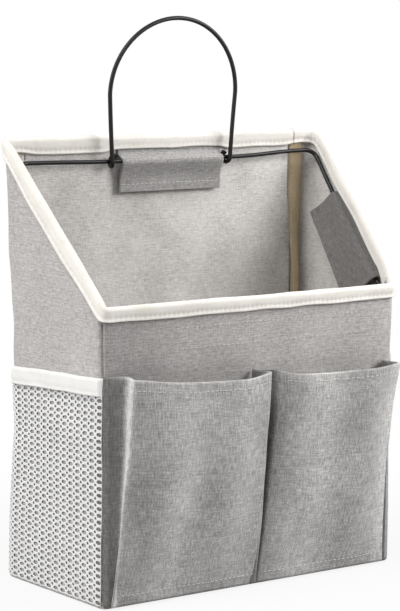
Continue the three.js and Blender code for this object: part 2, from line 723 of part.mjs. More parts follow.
for (const [name, side] of [['left', -1], ['right', 1]]) {
  const wall = new THREE.Group();
  const along = new THREE.Vector3(side * sideAlong.x, sideAlong.y, 0);
  const facing = along.clone().cross(upright);
  wall.position.set(side * sideStart.point.x, sideStart.point.y, 0);
  wall.quaternion.setFromRotationMatrix(new THREE.Matrix4().makeBasis(along, upright, facing));
  group.add(wall);

  const outwards = (thickness) => (side > 0 ? SEAM_GAP : -SEAM_GAP - thickness);
  const net = new THREE.ExtrudeGeometry(netShape(), { depth: NET, bevelEnabled: false });
  net.translate(0, 0, outwards(NET));
  addMesh(wall, `side_net_${name}`, net, MESH_CLOTH);

  const bandGeometry = new THREE.ExtrudeGeometry(bandShape(), {
    depth: NET_BAND - 2 * NET_BAND_EDGE,
    bevelThickness: NET_BAND_EDGE,
    bevelSize: NET_BAND_EDGE,
    bevelSegments: 1,
  });
  bandGeometry.translate(0, 0, outwards(NET_BAND) + NET_BAND_EDGE);
  addMesh(wall, `net_band_${name}`, bandGeometry, CREAM_TAPE);
}

export default group;
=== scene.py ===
import json
import math
from functools import lru_cache

import bmesh
import bpy
from mathutils import Matrix, Vector, noise


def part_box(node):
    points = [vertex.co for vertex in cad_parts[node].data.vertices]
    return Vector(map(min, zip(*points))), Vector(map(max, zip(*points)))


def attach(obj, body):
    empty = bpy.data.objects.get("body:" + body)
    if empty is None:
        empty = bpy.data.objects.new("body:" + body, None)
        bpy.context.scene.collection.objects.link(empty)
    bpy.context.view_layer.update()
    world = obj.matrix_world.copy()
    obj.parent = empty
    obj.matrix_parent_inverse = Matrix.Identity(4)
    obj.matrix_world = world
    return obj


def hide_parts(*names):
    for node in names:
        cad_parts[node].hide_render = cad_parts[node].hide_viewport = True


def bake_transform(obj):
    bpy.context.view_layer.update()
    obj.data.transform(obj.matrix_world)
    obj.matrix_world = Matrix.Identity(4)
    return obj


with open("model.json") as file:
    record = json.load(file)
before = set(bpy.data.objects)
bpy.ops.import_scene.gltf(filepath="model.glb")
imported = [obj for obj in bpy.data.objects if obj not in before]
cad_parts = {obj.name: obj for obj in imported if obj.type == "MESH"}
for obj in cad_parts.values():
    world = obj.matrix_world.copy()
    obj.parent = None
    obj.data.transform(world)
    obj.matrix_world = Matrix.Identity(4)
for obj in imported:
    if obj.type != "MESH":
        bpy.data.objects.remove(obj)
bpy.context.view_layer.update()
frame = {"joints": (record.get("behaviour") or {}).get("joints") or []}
scene = bpy.context.scene

# Studio: a pale floor that runs out to white, three round soft lamps at the near right, the left side
# and the upper left, and a camera at the photograph's viewing angle.
CAMERA_AIM = Vector((-0.0063, 0.0, 0.157))
CAMERA_AZIMUTH = math.radians(-33.64)
CAMERA_ELEVATION = math.radians(8.36)
CAMERA_ROLL = math.radians(0.56)
CAMERA_DISTANCE = 1.225
FOCAL_LENGTH_PIXELS = 2100
PICTURE_HEIGHT_PIXELS = 611
SENSOR_WIDTH = 36
FLOOR_SIZE = 8.0
FLOOR_DROP = 0.0004
FLOOR_GRAY = (0.5, 0.5, 0.5, 1)
FLOOR_FADE_START = 0.1
FLOOR_FADE_END = 0.32
FLOOR_FADE_LEAST = 0.88
WHITE = (1, 1, 1, 1)
SURROUND_LIGHT = 0.24

camera_back = Vector((
    math.sin(CAMERA_AZIMUTH) * math.cos(CAMERA_ELEVATION),
    -math.cos(CAMERA_AZIMUTH) * math.cos(CAMERA_ELEVATION),
    math.sin(CAMERA_ELEVATION),
))
level_right = Vector((math.cos(CAMERA_AZIMUTH), math.sin(CAMERA_AZIMUTH), 0))
level_up = camera_back.cross(level_right)
camera_right = level_right * math.cos(CAMERA_ROLL) + level_up * math.sin(CAMERA_ROLL)
camera_up = camera_back.cross(camera_right)
camera_turn = Matrix((camera_right, camera_up, camera_back)).transposed().to_4x4()
camera = bpy.data.objects.new("camera", bpy.data.cameras.new("camera"))
camera.data.sensor_width = SENSOR_WIDTH
camera.data.lens = SENSOR_WIDTH * FOCAL_LENGTH_PIXELS / PICTURE_HEIGHT_PIXELS
camera.matrix_world = Matrix.Translation(CAMERA_AIM + camera_back * CAMERA_DISTANCE) @ camera_turn
scene.collection.objects.link(camera)
scene.camera = camera
scene.view_settings.view_transform = "Standard"


def add_lamp(name, place, size, power):
    """A round lamp of that size in metres and power in watts, turned to the object."""
    lamp = bpy.data.objects.new(name, bpy.data.lights.new(name, "AREA"))
    lamp.data.shape = "DISK"
    lamp.data.size = size
    lamp.data.energy = power
    lamp.location = place
    lamp.rotation_euler = (CAMERA_AIM - Vector(place)).to_track_quat("-Z", "Y").to_euler()
    scene.collection.objects.link(lamp)


add_lamp("near_lamp", place=(0.43, -0.4, 0.52), size=0.45, power=5.6)
add_lamp("side_lamp", place=(-1.8, 0.3, 0.85), size=1.2, power=22.5)
add_lamp("top_lamp", place=(-0.85, -0.2, 1.6), size=0.9, power=23)


def add_node(tree, kind, inputs, **settings):
    """Adds a shader node, fed with values or with the outputs of other nodes, and gives its first output."""
    made = tree.nodes.new(kind)
    for name, value in settings.items():
        setattr(made, name, value)
    for socket, value in inputs.items():
        if isinstance(value, bpy.types.NodeSocket):
            tree.links.new(value, made.inputs[socket])
        else:
            made.inputs[socket].default_value = value
    return made.outputs[0] if made.outputs else None


def seen_directly(tree):
    """1 for what the camera sees, also in a mirror or through glass, and 0 for light on the object."""
    path = tree.nodes.new("ShaderNodeLightPath")
    glossy = add_node(tree, "ShaderNodeMath", {
        0: path.outputs["Is Camera Ray"], 1: path.outputs["Is Glossy Ray"],
    }, operation="MAXIMUM")
    return add_node(tree, "ShaderNodeMath", {
        0: glossy, 1: path.outputs["Is Transmission Ray"],
    }, operation="MAXIMUM")


world = bpy.data.worlds.new("white_surround")
world.use_nodes = True
surround = world.node_tree
surround.nodes.clear()
soft_light = add_node(surround, "ShaderNodeBackground", {"Color": WHITE, "Strength": SURROUND_LIGHT})
white = add_node(surround, "ShaderNodeBackground", {"Color": WHITE, "Strength": 1.0})
shown = add_node(surround, "ShaderNodeMixShader", {0: seen_directly(surround), 1: soft_light, 2: white})
add_node(surround, "ShaderNodeOutputWorld", {"Surface": shown})
scene.world = world

floor_finish = bpy.data.materials.new("pale_floor")
floor_finish.use_nodes = True
floor_tree = floor_finish.node_tree
floor_tree.nodes.clear()
floor_matt = add_node(floor_tree, "ShaderNodeBsdfDiffuse", {"Color": FLOOR_GRAY})
floor_white = add_node(floor_tree, "ShaderNodeEmission", {"Color": WHITE, "Strength": 1.0})
floor_place = floor_tree.nodes.new("ShaderNodeTexCoord").outputs["Object"]
floor_distance = floor_tree.nodes.new("ShaderNodeVectorMath")
floor_distance.operation = "LENGTH"
floor_tree.links.new(floor_place, floor_distance.inputs[0])
floor_fade = add_node(floor_tree, "ShaderNodeMapRange", {
    "Value": floor_distance.outputs["Value"],
    "From Min": FLOOR_FADE_START,
    "From Max": FLOOR_FADE_END,
    "To Min": FLOOR_FADE_LEAST,
    "To Max": 1.0,
})
floor_share = add_node(floor_tree, "ShaderNodeMath", {
    0: seen_directly(floor_tree), 1: floor_fade,
}, operation="MULTIPLY")
floor_mix = add_node(floor_tree, "ShaderNodeMixShader", {0: floor_share, 1: floor_matt, 2: floor_white})
add_node(floor_tree, "ShaderNodeOutputMaterial", {"Surface": floor_mix})
floor_shape = bmesh.new()
bmesh.ops.create_grid(floor_shape, x_segments=1, y_segments=1, size=FLOOR_SIZE / 2)
bmesh.ops.translate(floor_shape, verts=floor_shape.verts, vec=(0, 0, -FLOOR_DROP))
floor_mesh = bpy.data.meshes.new("studio_floor")
floor_shape.to_mesh(floor_mesh)
floor_shape.free()
floor_mesh.materials.append(floor_finish)
studio_floor = bpy.data.objects.new("studio_floor", floor_mesh)
scene.collection.objects.link(studio_floor)

# Bag walls: four panels of heathered linen-look cloth, cut low at the front and high at the back
# and sewn together at the corners. The stiff floor and the wire rim hold them, and they draw in between.
FRONT_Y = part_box("front_panel")[0].y
BACK_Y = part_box("back_panel")[1].y
HALF_FRONT = 0.100
HALF_BACK = 0.109
FRONT_CORNER = 0.003
BACK_CORNER = 0.009
BACK_SEAM_INSET = 0.0155
FRONT_RIM = 0.168
BACK_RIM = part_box("rim_binding")[1].z
RIM_FLAT = 0.009
RIM_EASE = 0.007
RIGHT_RIM_LIFT = 0.0055
RIGHT_LIFT_RISE = 0.1
RIGHT_LIFT_FALL = 0.7
CLOTH = 0.0012
WALL_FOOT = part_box("front_panel")[0].z
WALL_TOP_DROP = 0.0034
WALL_ROWS = 110
HEIGHT_STEPS = 40
SIDE_DRAW = 0.0028
WAIST_RAISED = 1.15
WAIST_ROUNDNESS = 1.2
FRONT_BOW = 0.0012
BOW_ROUNDNESS = 1.4
LEFT_SPREAD_LOW = 0.0022
LEFT_SPREAD_HIGH = 0.0046
RIPPLE = 0.0018
RIPPLE_SIZE = 0.055
FINE_RIPPLE = 0.4
FINE_RIPPLE_COUNT = 2.7
SEAM_TUCK = 0.0038
SEAM_TUCK_WIDTH = 0.0018
FRONT_EDGE_PAST_CORNER = 0.0002
SIDE_EDGE_PAST_CORNER = 0.001
BACK_SEAM_GAP = 0.0003

flare = math.atan2(HALF_BACK - HALF_FRONT, BACK_Y - FRONT_Y)
front_turn = math.pi / 2 - flare
back_turn = math.pi / 2 + flare
front_arc_y = FRONT_Y + FRONT_CORNER
back_arc_y = BACK_Y - BACK_CORNER
front_arc_x = HALF_FRONT + FRONT_CORNER * math.tan(flare) - FRONT_CORNER / math.cos(flare)
back_arc_x = HALF_BACK - BACK_CORNER * math.tan(flare) - BACK_CORNER / math.cos(flare)
flare_out = Vector((math.cos(flare), -math.sin(flare)))
side_start = Vector((front_arc_x, front_arc_y)) + FRONT_CORNER * flare_out
side_end = Vector((back_arc_x, back_arc_y)) + BACK_CORNER * flare_out
side_begin = front_arc_x + FRONT_CORNER * front_turn
side_finish = side_begin + (side_end - side_start).length
back_begin = side_finish + BACK_CORNER * back_turn
half_round = back_begin + back_arc_x
back_seam = half_round - (HALF_BACK - BACK_SEAM_INSET)
rim_bend_y = BACK_Y - RIM_FLAT
rim_slope = (BACK_RIM - FRONT_RIM) / (rim_bend_y - FRONT_Y)


def smooth(share):
    """Rises softly from 0 to 1 while the share does."""
    share = min(max(share, 0.0), 1.0)
    return share * share * (3 - 2 * share)


@lru_cache(maxsize=None)
def plan(run):
    """Point and outward direction on the bag's outline, run metres round from the front's middle."""
    side = 1 if run >= 0 else -1
    far = abs(run)
    if far <= front_arc_x:
        x, y, facing = far, FRONT_Y, -math.pi / 2
    elif far <= side_begin:
        facing = -math.pi / 2 + (far - front_arc_x) / FRONT_CORNER
        x = front_arc_x + FRONT_CORNER * math.cos(facing)
        y = front_arc_y + FRONT_CORNER * math.sin(facing)
    elif far <= side_finish:
        x, y = side_start.lerp(side_end, (far - side_begin) / (side_finish - side_begin))
        facing = -flare
    elif far <= back_begin:
        facing = -flare + (far - side_finish) / BACK_CORNER
        x = back_arc_x + BACK_CORNER * math.cos(facing)
        y = back_arc_y + BACK_CORNER * math.sin(facing)
    else:
        x, y, facing = half_round - far, BACK_Y, math.pi / 2
    return Vector((side * x, y, 0)), Vector((side * math.cos(facing), math.sin(facing), 0))


@lru_cache(maxsize=None)
def rim_level(run):
    """Height of the rim there: flat at the back, eased into the slant, and raised along the right side."""
    y = plan(run)[0].y
    level = FRONT_RIM + rim_slope * (y - FRONT_Y)
    past = y - (rim_bend_y - RIM_EASE)
    if past >= 2 * RIM_EASE:
        level = BACK_RIM
    elif past > 0:
        level -= rim_slope * past * past / (4 * RIM_EASE)
    if run > 0:
        reach = (y - FRONT_Y) / (rim_bend_y - FRONT_Y)
        level += RIGHT_RIM_LIFT * smooth(reach / RIGHT_LIFT_RISE) * smooth((1 - reach) / RIGHT_LIFT_FALL)
    return level


def wall_slack(run, z):
    """How far the cloth lies in from the outline there, from its own waves."""
    rise = min(max(z / rim_level(run), 0), 1)
    arch = max(math.sin(math.pi * rise), 0) ** BOW_ROUNDNESS
    point = plan(run)[0] + Vector((0, 0, z))
    ripple = noise.noise(point / RIPPLE_SIZE)
    ripple += FINE_RIPPLE * noise.noise(point / RIPPLE_SIZE * FINE_RIPPLE_COUNT)
    return arch * (FRONT_BOW + RIPPLE * ripple)


def drawn_in(point, run):
    """Moves a point as the hanging bag does: narrower half way up its back, and spread to the left."""
    depth = smooth((point.y - FRONT_Y) / (BACK_Y - FRONT_Y))
    rise = min(max(point.z / rim_level(run), 0), 1)
    waist = SIDE_DRAW * max(math.sin(math.pi * rise ** WAIST_RAISED), 0) ** WAIST_ROUNDNESS
    spread = LEFT_SPREAD_LOW + (LEFT_SPREAD_HIGH - LEFT_SPREAD_LOW) * rise
    spread *= smooth(-point.x / HALF_BACK)
    return point - Vector((depth * (waist * point.x / HALF_BACK + spread), 0, 0))


def on_wall(run, z, out=0.0):
    """The place on the hanging wall's outside at that height, or out metres in front of it."""
    point, outward = plan(run)
    return drawn_in(point + Vector((0, 0, z)) + outward * (out - wall_slack(run, z)), run)


def sew_sheet(name, columns, rows, place, flat, thickness, finish, offset=-1.0, lay=None):
    """A sheet of cloth laid out flat as a grid, then bent to its place and given its thickness."""
    cloth = bmesh.new()
    bmesh.ops.create_grid(cloth, x_segments=columns, y_segments=rows, size=0.5)
    weave = cloth.loops.layers.uv.new("weave")
    for face in cloth.faces:
        for corner in face.loops:
            across, up = corner.vert.co.x + 0.5, corner.vert.co.y + 0.5
            corner[weave].uv = lay(across, up) if lay else (across * flat[0], up * flat[1])
    for point in cloth.verts:
        point.co = place(point.co.x + 0.5, point.co.y + 0.5)
    return finish_piece(name, cloth, finish, thickness, offset)


def finish_piece(name, shape, finish, thickness=0.0, offset=-1.0):
    """Makes an object of a shape, with its material and, for cloth, its thickness."""
    mesh = bpy.data.meshes.new(name)
    shape.to_mesh(mesh)
    shape.free()
    mesh.shade_smooth()
    mesh.materials.append(finish)
    piece = bpy.data.objects.new(name, mesh)
    scene.collection.objects.link(piece)
    if thickness:
        wall = piece.modifiers.new("thickness", "SOLIDIFY")
        wall.thickness = thickness
        wall.offset = offset
    return piece


def shaded(tree, inputs):
    """Ends a material with one surface."""
    surface = add_node(tree, "ShaderNodeBsdfPrincipled", inputs)
    add_node(tree, "ShaderNodeOutputMaterial", {"Surface": surface})


def stretched_noise(tree, source, grains, detail=3.0):
    """Noise with so many grains to the metre along and across the cloth."""
    spread = add_node(tree, "ShaderNodeMapping", {"Vector": source, "Scale": (*grains, 1.0)})
    return add_node(tree, "ShaderNodeTexNoise", {
        "Vector": spread, "Scale": 1.0, "Detail": detail, "Roughness": 0.6,
    })


def solid_noise(tree, lumps_per_metre, detail):
    """Noise through the whole piece, whichever way its surface runs."""
    place = tree.nodes.new("ShaderNodeTexCoord").outputs["Object"]
    return add_node(tree, "ShaderNodeTexNoise", {"Vector": place, "Scale": lumps_per_metre, "Detail": detail})


def relief_of(tree, height, strength, depth):
    """Fine relief that only the light shows, up to that depth in metres."""
    return add_node(tree, "ShaderNodeBump", {"Strength": strength, "Distance": depth, "Height": height})


def weighted(tree, parts):
    """Sum of noises about a middle value of a half, each with its own weight."""
    total = 0.5 - 0.5 * sum(weight for _, weight in parts)
    for source, weight in parts:
        total = add_node(tree, "ShaderNodeMath", {0: source, 1: weight, 2: total}, operation="MULTIPLY_ADD")
    return total


def colour_steps(tree, share, colours, places=None):
    """The colour for a share from 0 to 1, blended between colours at even or given places."""
    ramp = tree.nodes.new("ShaderNodeValToRGB")
    places = places or [index / (len(colours) - 1) for index in range(len(colours))]
    steps = ramp.color_ramp.elements
    while len(steps) < len(colours):
        steps.new(0.5)
    for step, place, colour in zip(steps, places, colours):
        step.position = place
        step.color = (*colour, 1)
    tree.links.new(share, ramp.inputs[0])
    return ramp.outputs[0]


def new_finish(name):
    """An empty material and its node tree."""
    finish = bpy.data.materials.new(name)
    finish.use_nodes = True
    finish.node_tree.nodes.clear()
    return finish, finish.node_tree


SLUB_WIDTH = 0.00075
STREAK_LENGTH = 0.03
STREAK_WIDTH = 0.0016
FLECK_GRAINS = (1300, 1300)
BLOTCH_GRAINS = (34, 26)
YARN_WEIGHT = 1.8
WAVE_PERIOD = 0.314


def thread_lines(tree, lay, thread, way, unevenness):
    """Lines of thread along one way of the cloth. A wave node of scale 1 has lines WAVE_PERIOD apart."""
    return add_node(tree, "ShaderNodeTexWave", {
        "Vector": lay, "Scale": WAVE_PERIOD / thread, "Distortion": unevenness,
    }, bands_direction=way)


def linen(name, colours, slub_length=0.0042, thread=0.00062, toning=0.3, upright=0.75, painted_shading=()):
    """Plain weave of mottled yarn, with thick and thin places along both ways of thread.

    Toning is the weight of broad blotches, and upright that of the yarn's upright marks.
    Painted shading is given as places along the cloth, each with its share of the full colour there: below
    one it paints shade, above one a highlight.
    """
    finish, tree = new_finish(name)
    lay = add_node(tree, "ShaderNodeUVMap", {}, uv_map="weave")
    long_grain, cross_grain = 1 / slub_length, 1 / SLUB_WIDTH
    warp = stretched_noise(tree, lay, (cross_grain, long_grain))
    weft = stretched_noise(tree, lay, (long_grain, cross_grain))
    streak = stretched_noise(tree, lay, (1 / STREAK_LENGTH, 1 / STREAK_WIDTH), 2.0)
    fleck = stretched_noise(tree, lay, FLECK_GRAINS, 2.0)
    blotch = stretched_noise(tree, lay, BLOTCH_GRAINS, 3.0)
    upright_lines, cross_lines = (thread_lines(tree, lay, thread, way, 0.6) for way in ("X", "Y"))
    tone = weighted(tree, [
        (warp, upright), (weft, YARN_WEIGHT - upright), (streak, 0.3), (fleck, 0.5), (blotch, toning),
        (upright_lines, 0.10), (cross_lines, 0.10),
    ])
    height = weighted(tree, [(warp, 0.5), (weft, 0.5), (upright_lines, 0.5), (cross_lines, 0.5)])
    relief = relief_of(tree, height, strength=0.5, depth=0.0004)
    colour = colour_steps(tree, tone, colours)
    # Painted shade and painted highlight: the colour is scaled along the cloth's width by the given shares.
    if painted_shading:
        along = add_node(tree, "ShaderNodeSeparateXYZ", {"Vector": lay})
        brightest = max(tone for _, tone in painted_shading)
        first, last = painted_shading[0][0], painted_shading[-1][0]
        share = add_node(tree, "ShaderNodeMapRange", {"Value": along, "From Min": first, "From Max": last})
        painted_tone = colour_steps(tree, share, [(tone / brightest,) * 3 for _, tone in painted_shading],
                            [(place - first) / (last - first) for place, _ in painted_shading])
        painted_tone = add_node(tree, "ShaderNodeVectorMath", {0: painted_tone, "Scale": brightest}, operation="SCALE")
        colour = add_node(tree, "ShaderNodeVectorMath", {0: colour, 1: painted_tone}, operation="MULTIPLY")
    shaded(tree, {
        "Base Color": colour,
        "Roughness": 0.92,
        "Specular IOR Level": 0.2,
        "Sheen Weight": 0.12,
        "Sheen Roughness": 0.5,
        "Normal": relief,
    })
    return finish


WALL_COLOURS = [(0.17, 0.16, 0.155), (0.40, 0.383, 0.374), (0.66, 0.64, 0.625)]
# Painted shade: the front panel gets its own copy of the wall linen, darkened towards its left corner by
# these shares.
FRONT_PAINTED_SHADE = [(-0.104, 0.72), (-0.085, 0.8), (-0.05, 0.97), (0.104, 1.0)]

gray_linen = linen("gray_linen", WALL_COLOURS)
front_shaded_linen = linen("front_shaded_linen", WALL_COLOURS, painted_shading=FRONT_PAINTED_SHADE)
# The walls' inside faces get a paler linen than their outside.
paler_inside_linen = linen("paler_inside_linen", [(0.3, 0.287, 0.272), (0.59, 0.57, 0.55), (0.82, 0.80, 0.78)], toning=0.7)


def tuck(distance):
    """How far a panel's edge turns in at its seam."""
    return SEAM_TUCK * (1 - smooth(distance / SEAM_TUCK_WIDTH))


def wall_panel(name, node, start, end, columns, tucked, finish=gray_linen):
    """A panel between two places round the outline, turned in at its tucked edges and pale inside."""
    width = end - start

    def wall_height(run):
        return rim_level(run) - WALL_TOP_DROP - WALL_FOOT

    def lay(across, up):
        run = start + width * across
        return run, WALL_FOOT + wall_height(run) * up

    def place(across, up):
        run, z = lay(across, up)
        dip = sum(tuck(abs(run - edge)) for edge in tucked)
        return on_wall(run, z, -dip)

    heights = [wall_height(start + width * step / HEIGHT_STEPS) for step in range(HEIGHT_STEPS + 1)]
    piece = sew_sheet(name, columns, WALL_ROWS, place, (width, max(heights)), CLOTH, finish, lay=lay)
    piece.data.materials.append(paler_inside_linen)
    piece.modifiers["thickness"].material_offset = 1
    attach(piece, "bag")
    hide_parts(node)


front_edge = side_begin + FRONT_EDGE_PAST_CORNER
wall_panel("front_cloth", "front_panel", -front_edge, front_edge, columns=150,
           tucked=(-front_edge, front_edge), finish=front_shaded_linen)
back_edge = back_seam + BACK_SEAM_GAP
wall_panel("back_cloth", "back_panel", back_edge, 2 * half_round - back_edge, columns=120, tucked=())
for name, side in (("left", -1), ("right", 1)):
    side_edge = side * (side_begin + SIDE_EDGE_PAST_CORNER)
    start, end = sorted((side_edge, side * back_seam))
    wall_panel(f"{name}_cloth", f"{name}_panel", start, end, columns=90, tucked=(side_edge,))

# Floor of the bag: a flat panel of the same cloth over a stiff board, sewn to the walls' lower edges.
# Its edge is turned under all round, so it shows a narrow band on the underside.
FLOOR_POINTS = 200
FLOOR_BAND = 0.006
FLOOR_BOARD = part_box("bottom_panel")[1].z
FLOOR_RISE = 0.0003


def wrapped(run):
    """The same place on the outline, as a distance to the right or left of the front's middle."""
    return (run + half_round) % (2 * half_round) - half_round


floor_outline = bmesh.new()
bmesh.ops.create_circle(floor_outline, cap_ends=True, segments=FLOOR_POINTS, radius=1)
floor_outline.verts.ensure_lookup_table()
for index, corner in enumerate(floor_outline.verts):
    corner.co = on_wall(wrapped(half_round + 2 * half_round * index / FLOOR_POINTS), 0)
bmesh.ops.inset_region(floor_outline, faces=floor_outline.faces, thickness=FLOOR_BAND, depth=FLOOR_RISE)
bmesh.ops.translate(floor_outline, verts=floor_outline.verts, vec=(0, 0, FLOOR_BOARD - FLOOR_RISE))
floor_weave = floor_outline.loops.layers.uv.new("weave")
for face in floor_outline.faces:
    for corner in face.loops:
        corner[floor_weave].uv = corner.vert.co.xy
floor_cloth = finish_piece("floor_cloth", floor_outline, gray_linen, FLOOR_BOARD - FLOOR_RISE)
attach(floor_cloth, "bag")
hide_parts("bottom_panel")

# Rim binding: one strip of cream cotton tape folded over the walls' raw edges and sewn through both
# sides. It puckers between the stitches, swells at the fold, and its ends lap at the right rear corner.
BINDING_WIDTH = 0.0079
BINDING_FOLD = 0.0017
BINDING_TAPE = 0.0006
BINDING_LAP = 0.013
BINDING_LAP_START = back_begin - 0.006
BINDING_STITCH_INSET = 0.0021
WIDER_AT_SIDES = 0.2
WIDER_AT_BACK = 0.17
WIDER_RUN_IN = 0.03
WIDTH_LUMPS = 0.09
WIDTH_LUMP_SIZE = 0.021
FOLD_LUMPS = 0.22
FOLD_LUMP_SIZE = 0.017
LAP_RAISE = 0.00062
LAP_LEAD = 0.002
LAP_RAMP = 0.003
SEAM_PINCH = 0.42
SEAM_PINCH_WIDTH = 0.0013
PUCKER_DEPTH = 0.25
BACKED_PUCKER = 0.3
REAR_TAB_HALF = 0.0355
FRONT_TAB_HALF = 0.062
SIDE_TAB_HALF = 0.025
SIDE_TAB_Y = -0.0105
TAB_FADE = 0.009
LIFTED_EDGE = 0.0026
TUCKED_STRAP = 0.0006
SLOPE_WINDOW = 0.004
STITCH_LENGTH = 0.0023
STITCH_SPACING = 0.0031
THREAD = 0.00042
THREAD_RAISE = 0.3 * THREAD
RIM_ROW_START = 0.004

side_tab_middle = side_begin + (SIDE_TAB_Y - side_start.y) / math.cos(flare)
binding_leg = BINDING_WIDTH - BINDING_FOLD
binding_girth = 2 * binding_leg + math.pi * BINDING_FOLD
binding_length = 2 * half_round + BINDING_LAP


def tape_cloth(name, colours, grain=0.00055):
    """Close plain-woven tape with fine cross ribs and soft uneven toning."""
    finish, tree = new_finish(name)
    lay = add_node(tree, "ShaderNodeUVMap", {}, uv_map="weave")
    ribs, cross = (thread_lines(tree, lay, grain, way, 0.8) for way in ("X", "Y"))
    fibre = stretched_noise(tree, lay, (700, 700))
    blotch = stretched_noise(tree, lay, (60, 90), 3.0)
    tone = weighted(tree, [(fibre, 0.5), (blotch, 0.9), (ribs, 0.12), (cross, 0.12)])
    height = weighted(tree, [(ribs, 0.5), (cross, 0.5), (fibre, 0.4)])
    relief = relief_of(tree, height, strength=0.35, depth=0.0003)
    shaded(tree, {
        "Base Color": colour_steps(tree, tone, colours),
        "Roughness": 0.88,
        "Specular IOR Level": 0.25,
        "Sheen Weight": 0.1,
        "Normal": relief,
    })
    return finish


def spun_thread(name, colours):
    """Sewing thread: fine twist on each stitch."""
    finish, tree = new_finish(name)
    twist = solid_noise(tree, lumps_per_metre=2600.0, detail=2.0)
    relief = relief_of(tree, twist, strength=0.3, depth=0.0001)
    shaded(tree, {
        "Base Color": colour_steps(tree, twist, colours),
        "Roughness": 0.7,
        "Sheen Weight": 0.15,
        "Normal": relief,
    })
    return finish


cream_tape = tape_cloth("cream_tape", [(0.53, 0.50, 0.44), (0.68, 0.655, 0.61), (0.76, 0.74, 0.70)])
cream_thread = spun_thread("cream_thread", [(0.62, 0.58, 0.5), (0.86, 0.83, 0.77)])


def rim_slant(run):
    """Angle at which the rim climbs there."""
    rise = rim_level(wrapped(run + SLOPE_WINDOW)) - rim_level(wrapped(run - SLOPE_WINDOW))
    return math.atan2(rise, 2 * SLOPE_WINDOW)


def lumps(run, across, size):
    """Soft unevenness of a sewn tape, from -1 to 1, in lumps of about that size."""
    return noise.noise(Vector((run / size, across * 3, 7.3)))


def over_tab(run, middle, half):
    """1 where a tab's sewn end lies under the binding, falling off beside it."""
    return smooth((half + TAB_FADE - abs(abs(run) - middle)) / TAB_FADE)


def folded_over(girth, leg, radius, fold, width):
    """Drop below the top and distance out from the wall, at a place round a tape folded over an edge."""
    if girth < leg:
        return width - girth * (width - radius) / leg, fold
    if girth < leg + math.pi * radius:
        turn = (girth - leg) / radius
        return radius - fold * math.sin(turn), fold * math.cos(turn)
    past = girth - leg - math.pi * radius
    return radius + past * (width - radius) / leg, -fold


def binding_place(around, across):
    """A place on the binding: round the rim, and across from its outer to its inner edge."""
    travelled = around * binding_length
    run = wrapped(BINDING_LAP_START + travelled)
    far = abs(run)
    lapped = smooth((travelled - 2 * half_round + LAP_LEAD) / LAP_RAMP)
    width = BINDING_WIDTH * (1 + WIDTH_LUMPS * lumps(run, 0 if across < 0.5 else 1, WIDTH_LUMP_SIZE))
    girth = across * binding_girth
    fold = BINDING_FOLD * (1 + FOLD_LUMPS * lumps(run, across, FOLD_LUMP_SIZE)) + LAP_RAISE * lapped
    strap_under = 0.0
    if girth < binding_leg:
        along_side = smooth((far - side_begin) / WIDER_RUN_IN) * smooth((side_finish - far) / WIDER_RUN_IN)
        width *= 1 + WIDER_AT_SIDES * along_side
    elif girth >= binding_leg + math.pi * BINDING_FOLD:
        rear_tab = over_tab(run, half_round, REAR_TAB_HALF)
        front_tab = over_tab(run, 0, FRONT_TAB_HALF)
        lifted = max(front_tab, over_tab(run, side_tab_middle, SIDE_TAB_HALF))
        width *= 1 + WIDER_AT_BACK * smooth((far - back_begin) / WIDER_RUN_IN * 2) * (1 - rear_tab)
        width -= LIFTED_EDGE * (front_tab if run > 0 else lifted)
        strap_under = TUCKED_STRAP * max(rear_tab, lifted)
    drop, out = folded_over(girth, binding_leg, BINDING_FOLD, fold, width)
    out -= strap_under
    from_seam = (drop - (width - BINDING_STITCH_INSET)) / SEAM_PINCH_WIDTH
    pucker = 1 - PUCKER_DEPTH + PUCKER_DEPTH * math.cos(2 * math.pi * travelled / STITCH_SPACING)
    if out < -fold:
        pucker *= BACKED_PUCKER
    out *= 1 - SEAM_PINCH * pucker * math.exp(-from_seam * from_seam)
    slant = rim_slant(run)
    down = rim_level(run) - drop * math.cos(slant)
    return on_wall(wrapped(run + drop * math.sin(slant)), down, out - CLOTH / 2)


def stitch_row(threads, place, path):
    """Lays stitches of thread along a path of sheet places, on the sheet's face."""
    spots = [place(*spot) for spot in path]
    gone, due, nudge = 0.0, STITCH_SPACING / 2, 0.002
    for index in range(len(spots) - 1):
        step = spots[index + 1] - spots[index]
        while due < gone + step.length:
            share = (due - gone) / step.length
            across, up = (a + (b - a) * share for a, b in zip(path[index], path[index + 1]))
            along = step.normalized()
            right = place(across + nudge, up) - place(across - nudge, up)
            rise = place(across, up + nudge) - place(across, up - nudge)
            face = right.cross(rise).normalized()
            turn = Matrix((along, face.cross(along), face)).transposed().to_4x4()
            size = Matrix.Diagonal((STITCH_LENGTH / 2, THREAD / 2, THREAD / 2, 1))
            at = Matrix.Translation(spots[index].lerp(spots[index + 1], share) + face * THREAD_RAISE)
            bmesh.ops.create_uvsphere(threads, u_segments=6, v_segments=5, radius=1,
                                      matrix=at @ turn @ size @ Matrix.Rotation(math.pi / 2, 4, "Y"))
            due += STITCH_SPACING
        gone += step.length


def straight_path(start, end, steps):
    """Sheet places in even steps from one to another."""
    return [tuple(a + (b - a) * step / steps for a, b in zip(start, end)) for step in range(steps + 1)]


def finish_stitches(name, threads, thread, body):
    """Makes an object of the stitches that were laid."""
    piece = finish_piece(name, threads, thread)
    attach(piece, body)


rim_tape = sew_sheet("rim_tape", 720, 26, binding_place, (binding_length, binding_girth), BINDING_TAPE,
                     cream_tape, offset=1.0)
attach(rim_tape, "bag")
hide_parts("rim_binding")
rim_threads = bmesh.new()
seam_share = BINDING_STITCH_INSET / binding_girth
for level in (seam_share, 1 - seam_share):
    row = straight_path((RIM_ROW_START, level), (1 - RIM_ROW_START, level), 500)
    stitch_row(rim_threads, binding_place, row)
finish_stitches("rim_stitches", rim_threads, cream_thread, "bag")

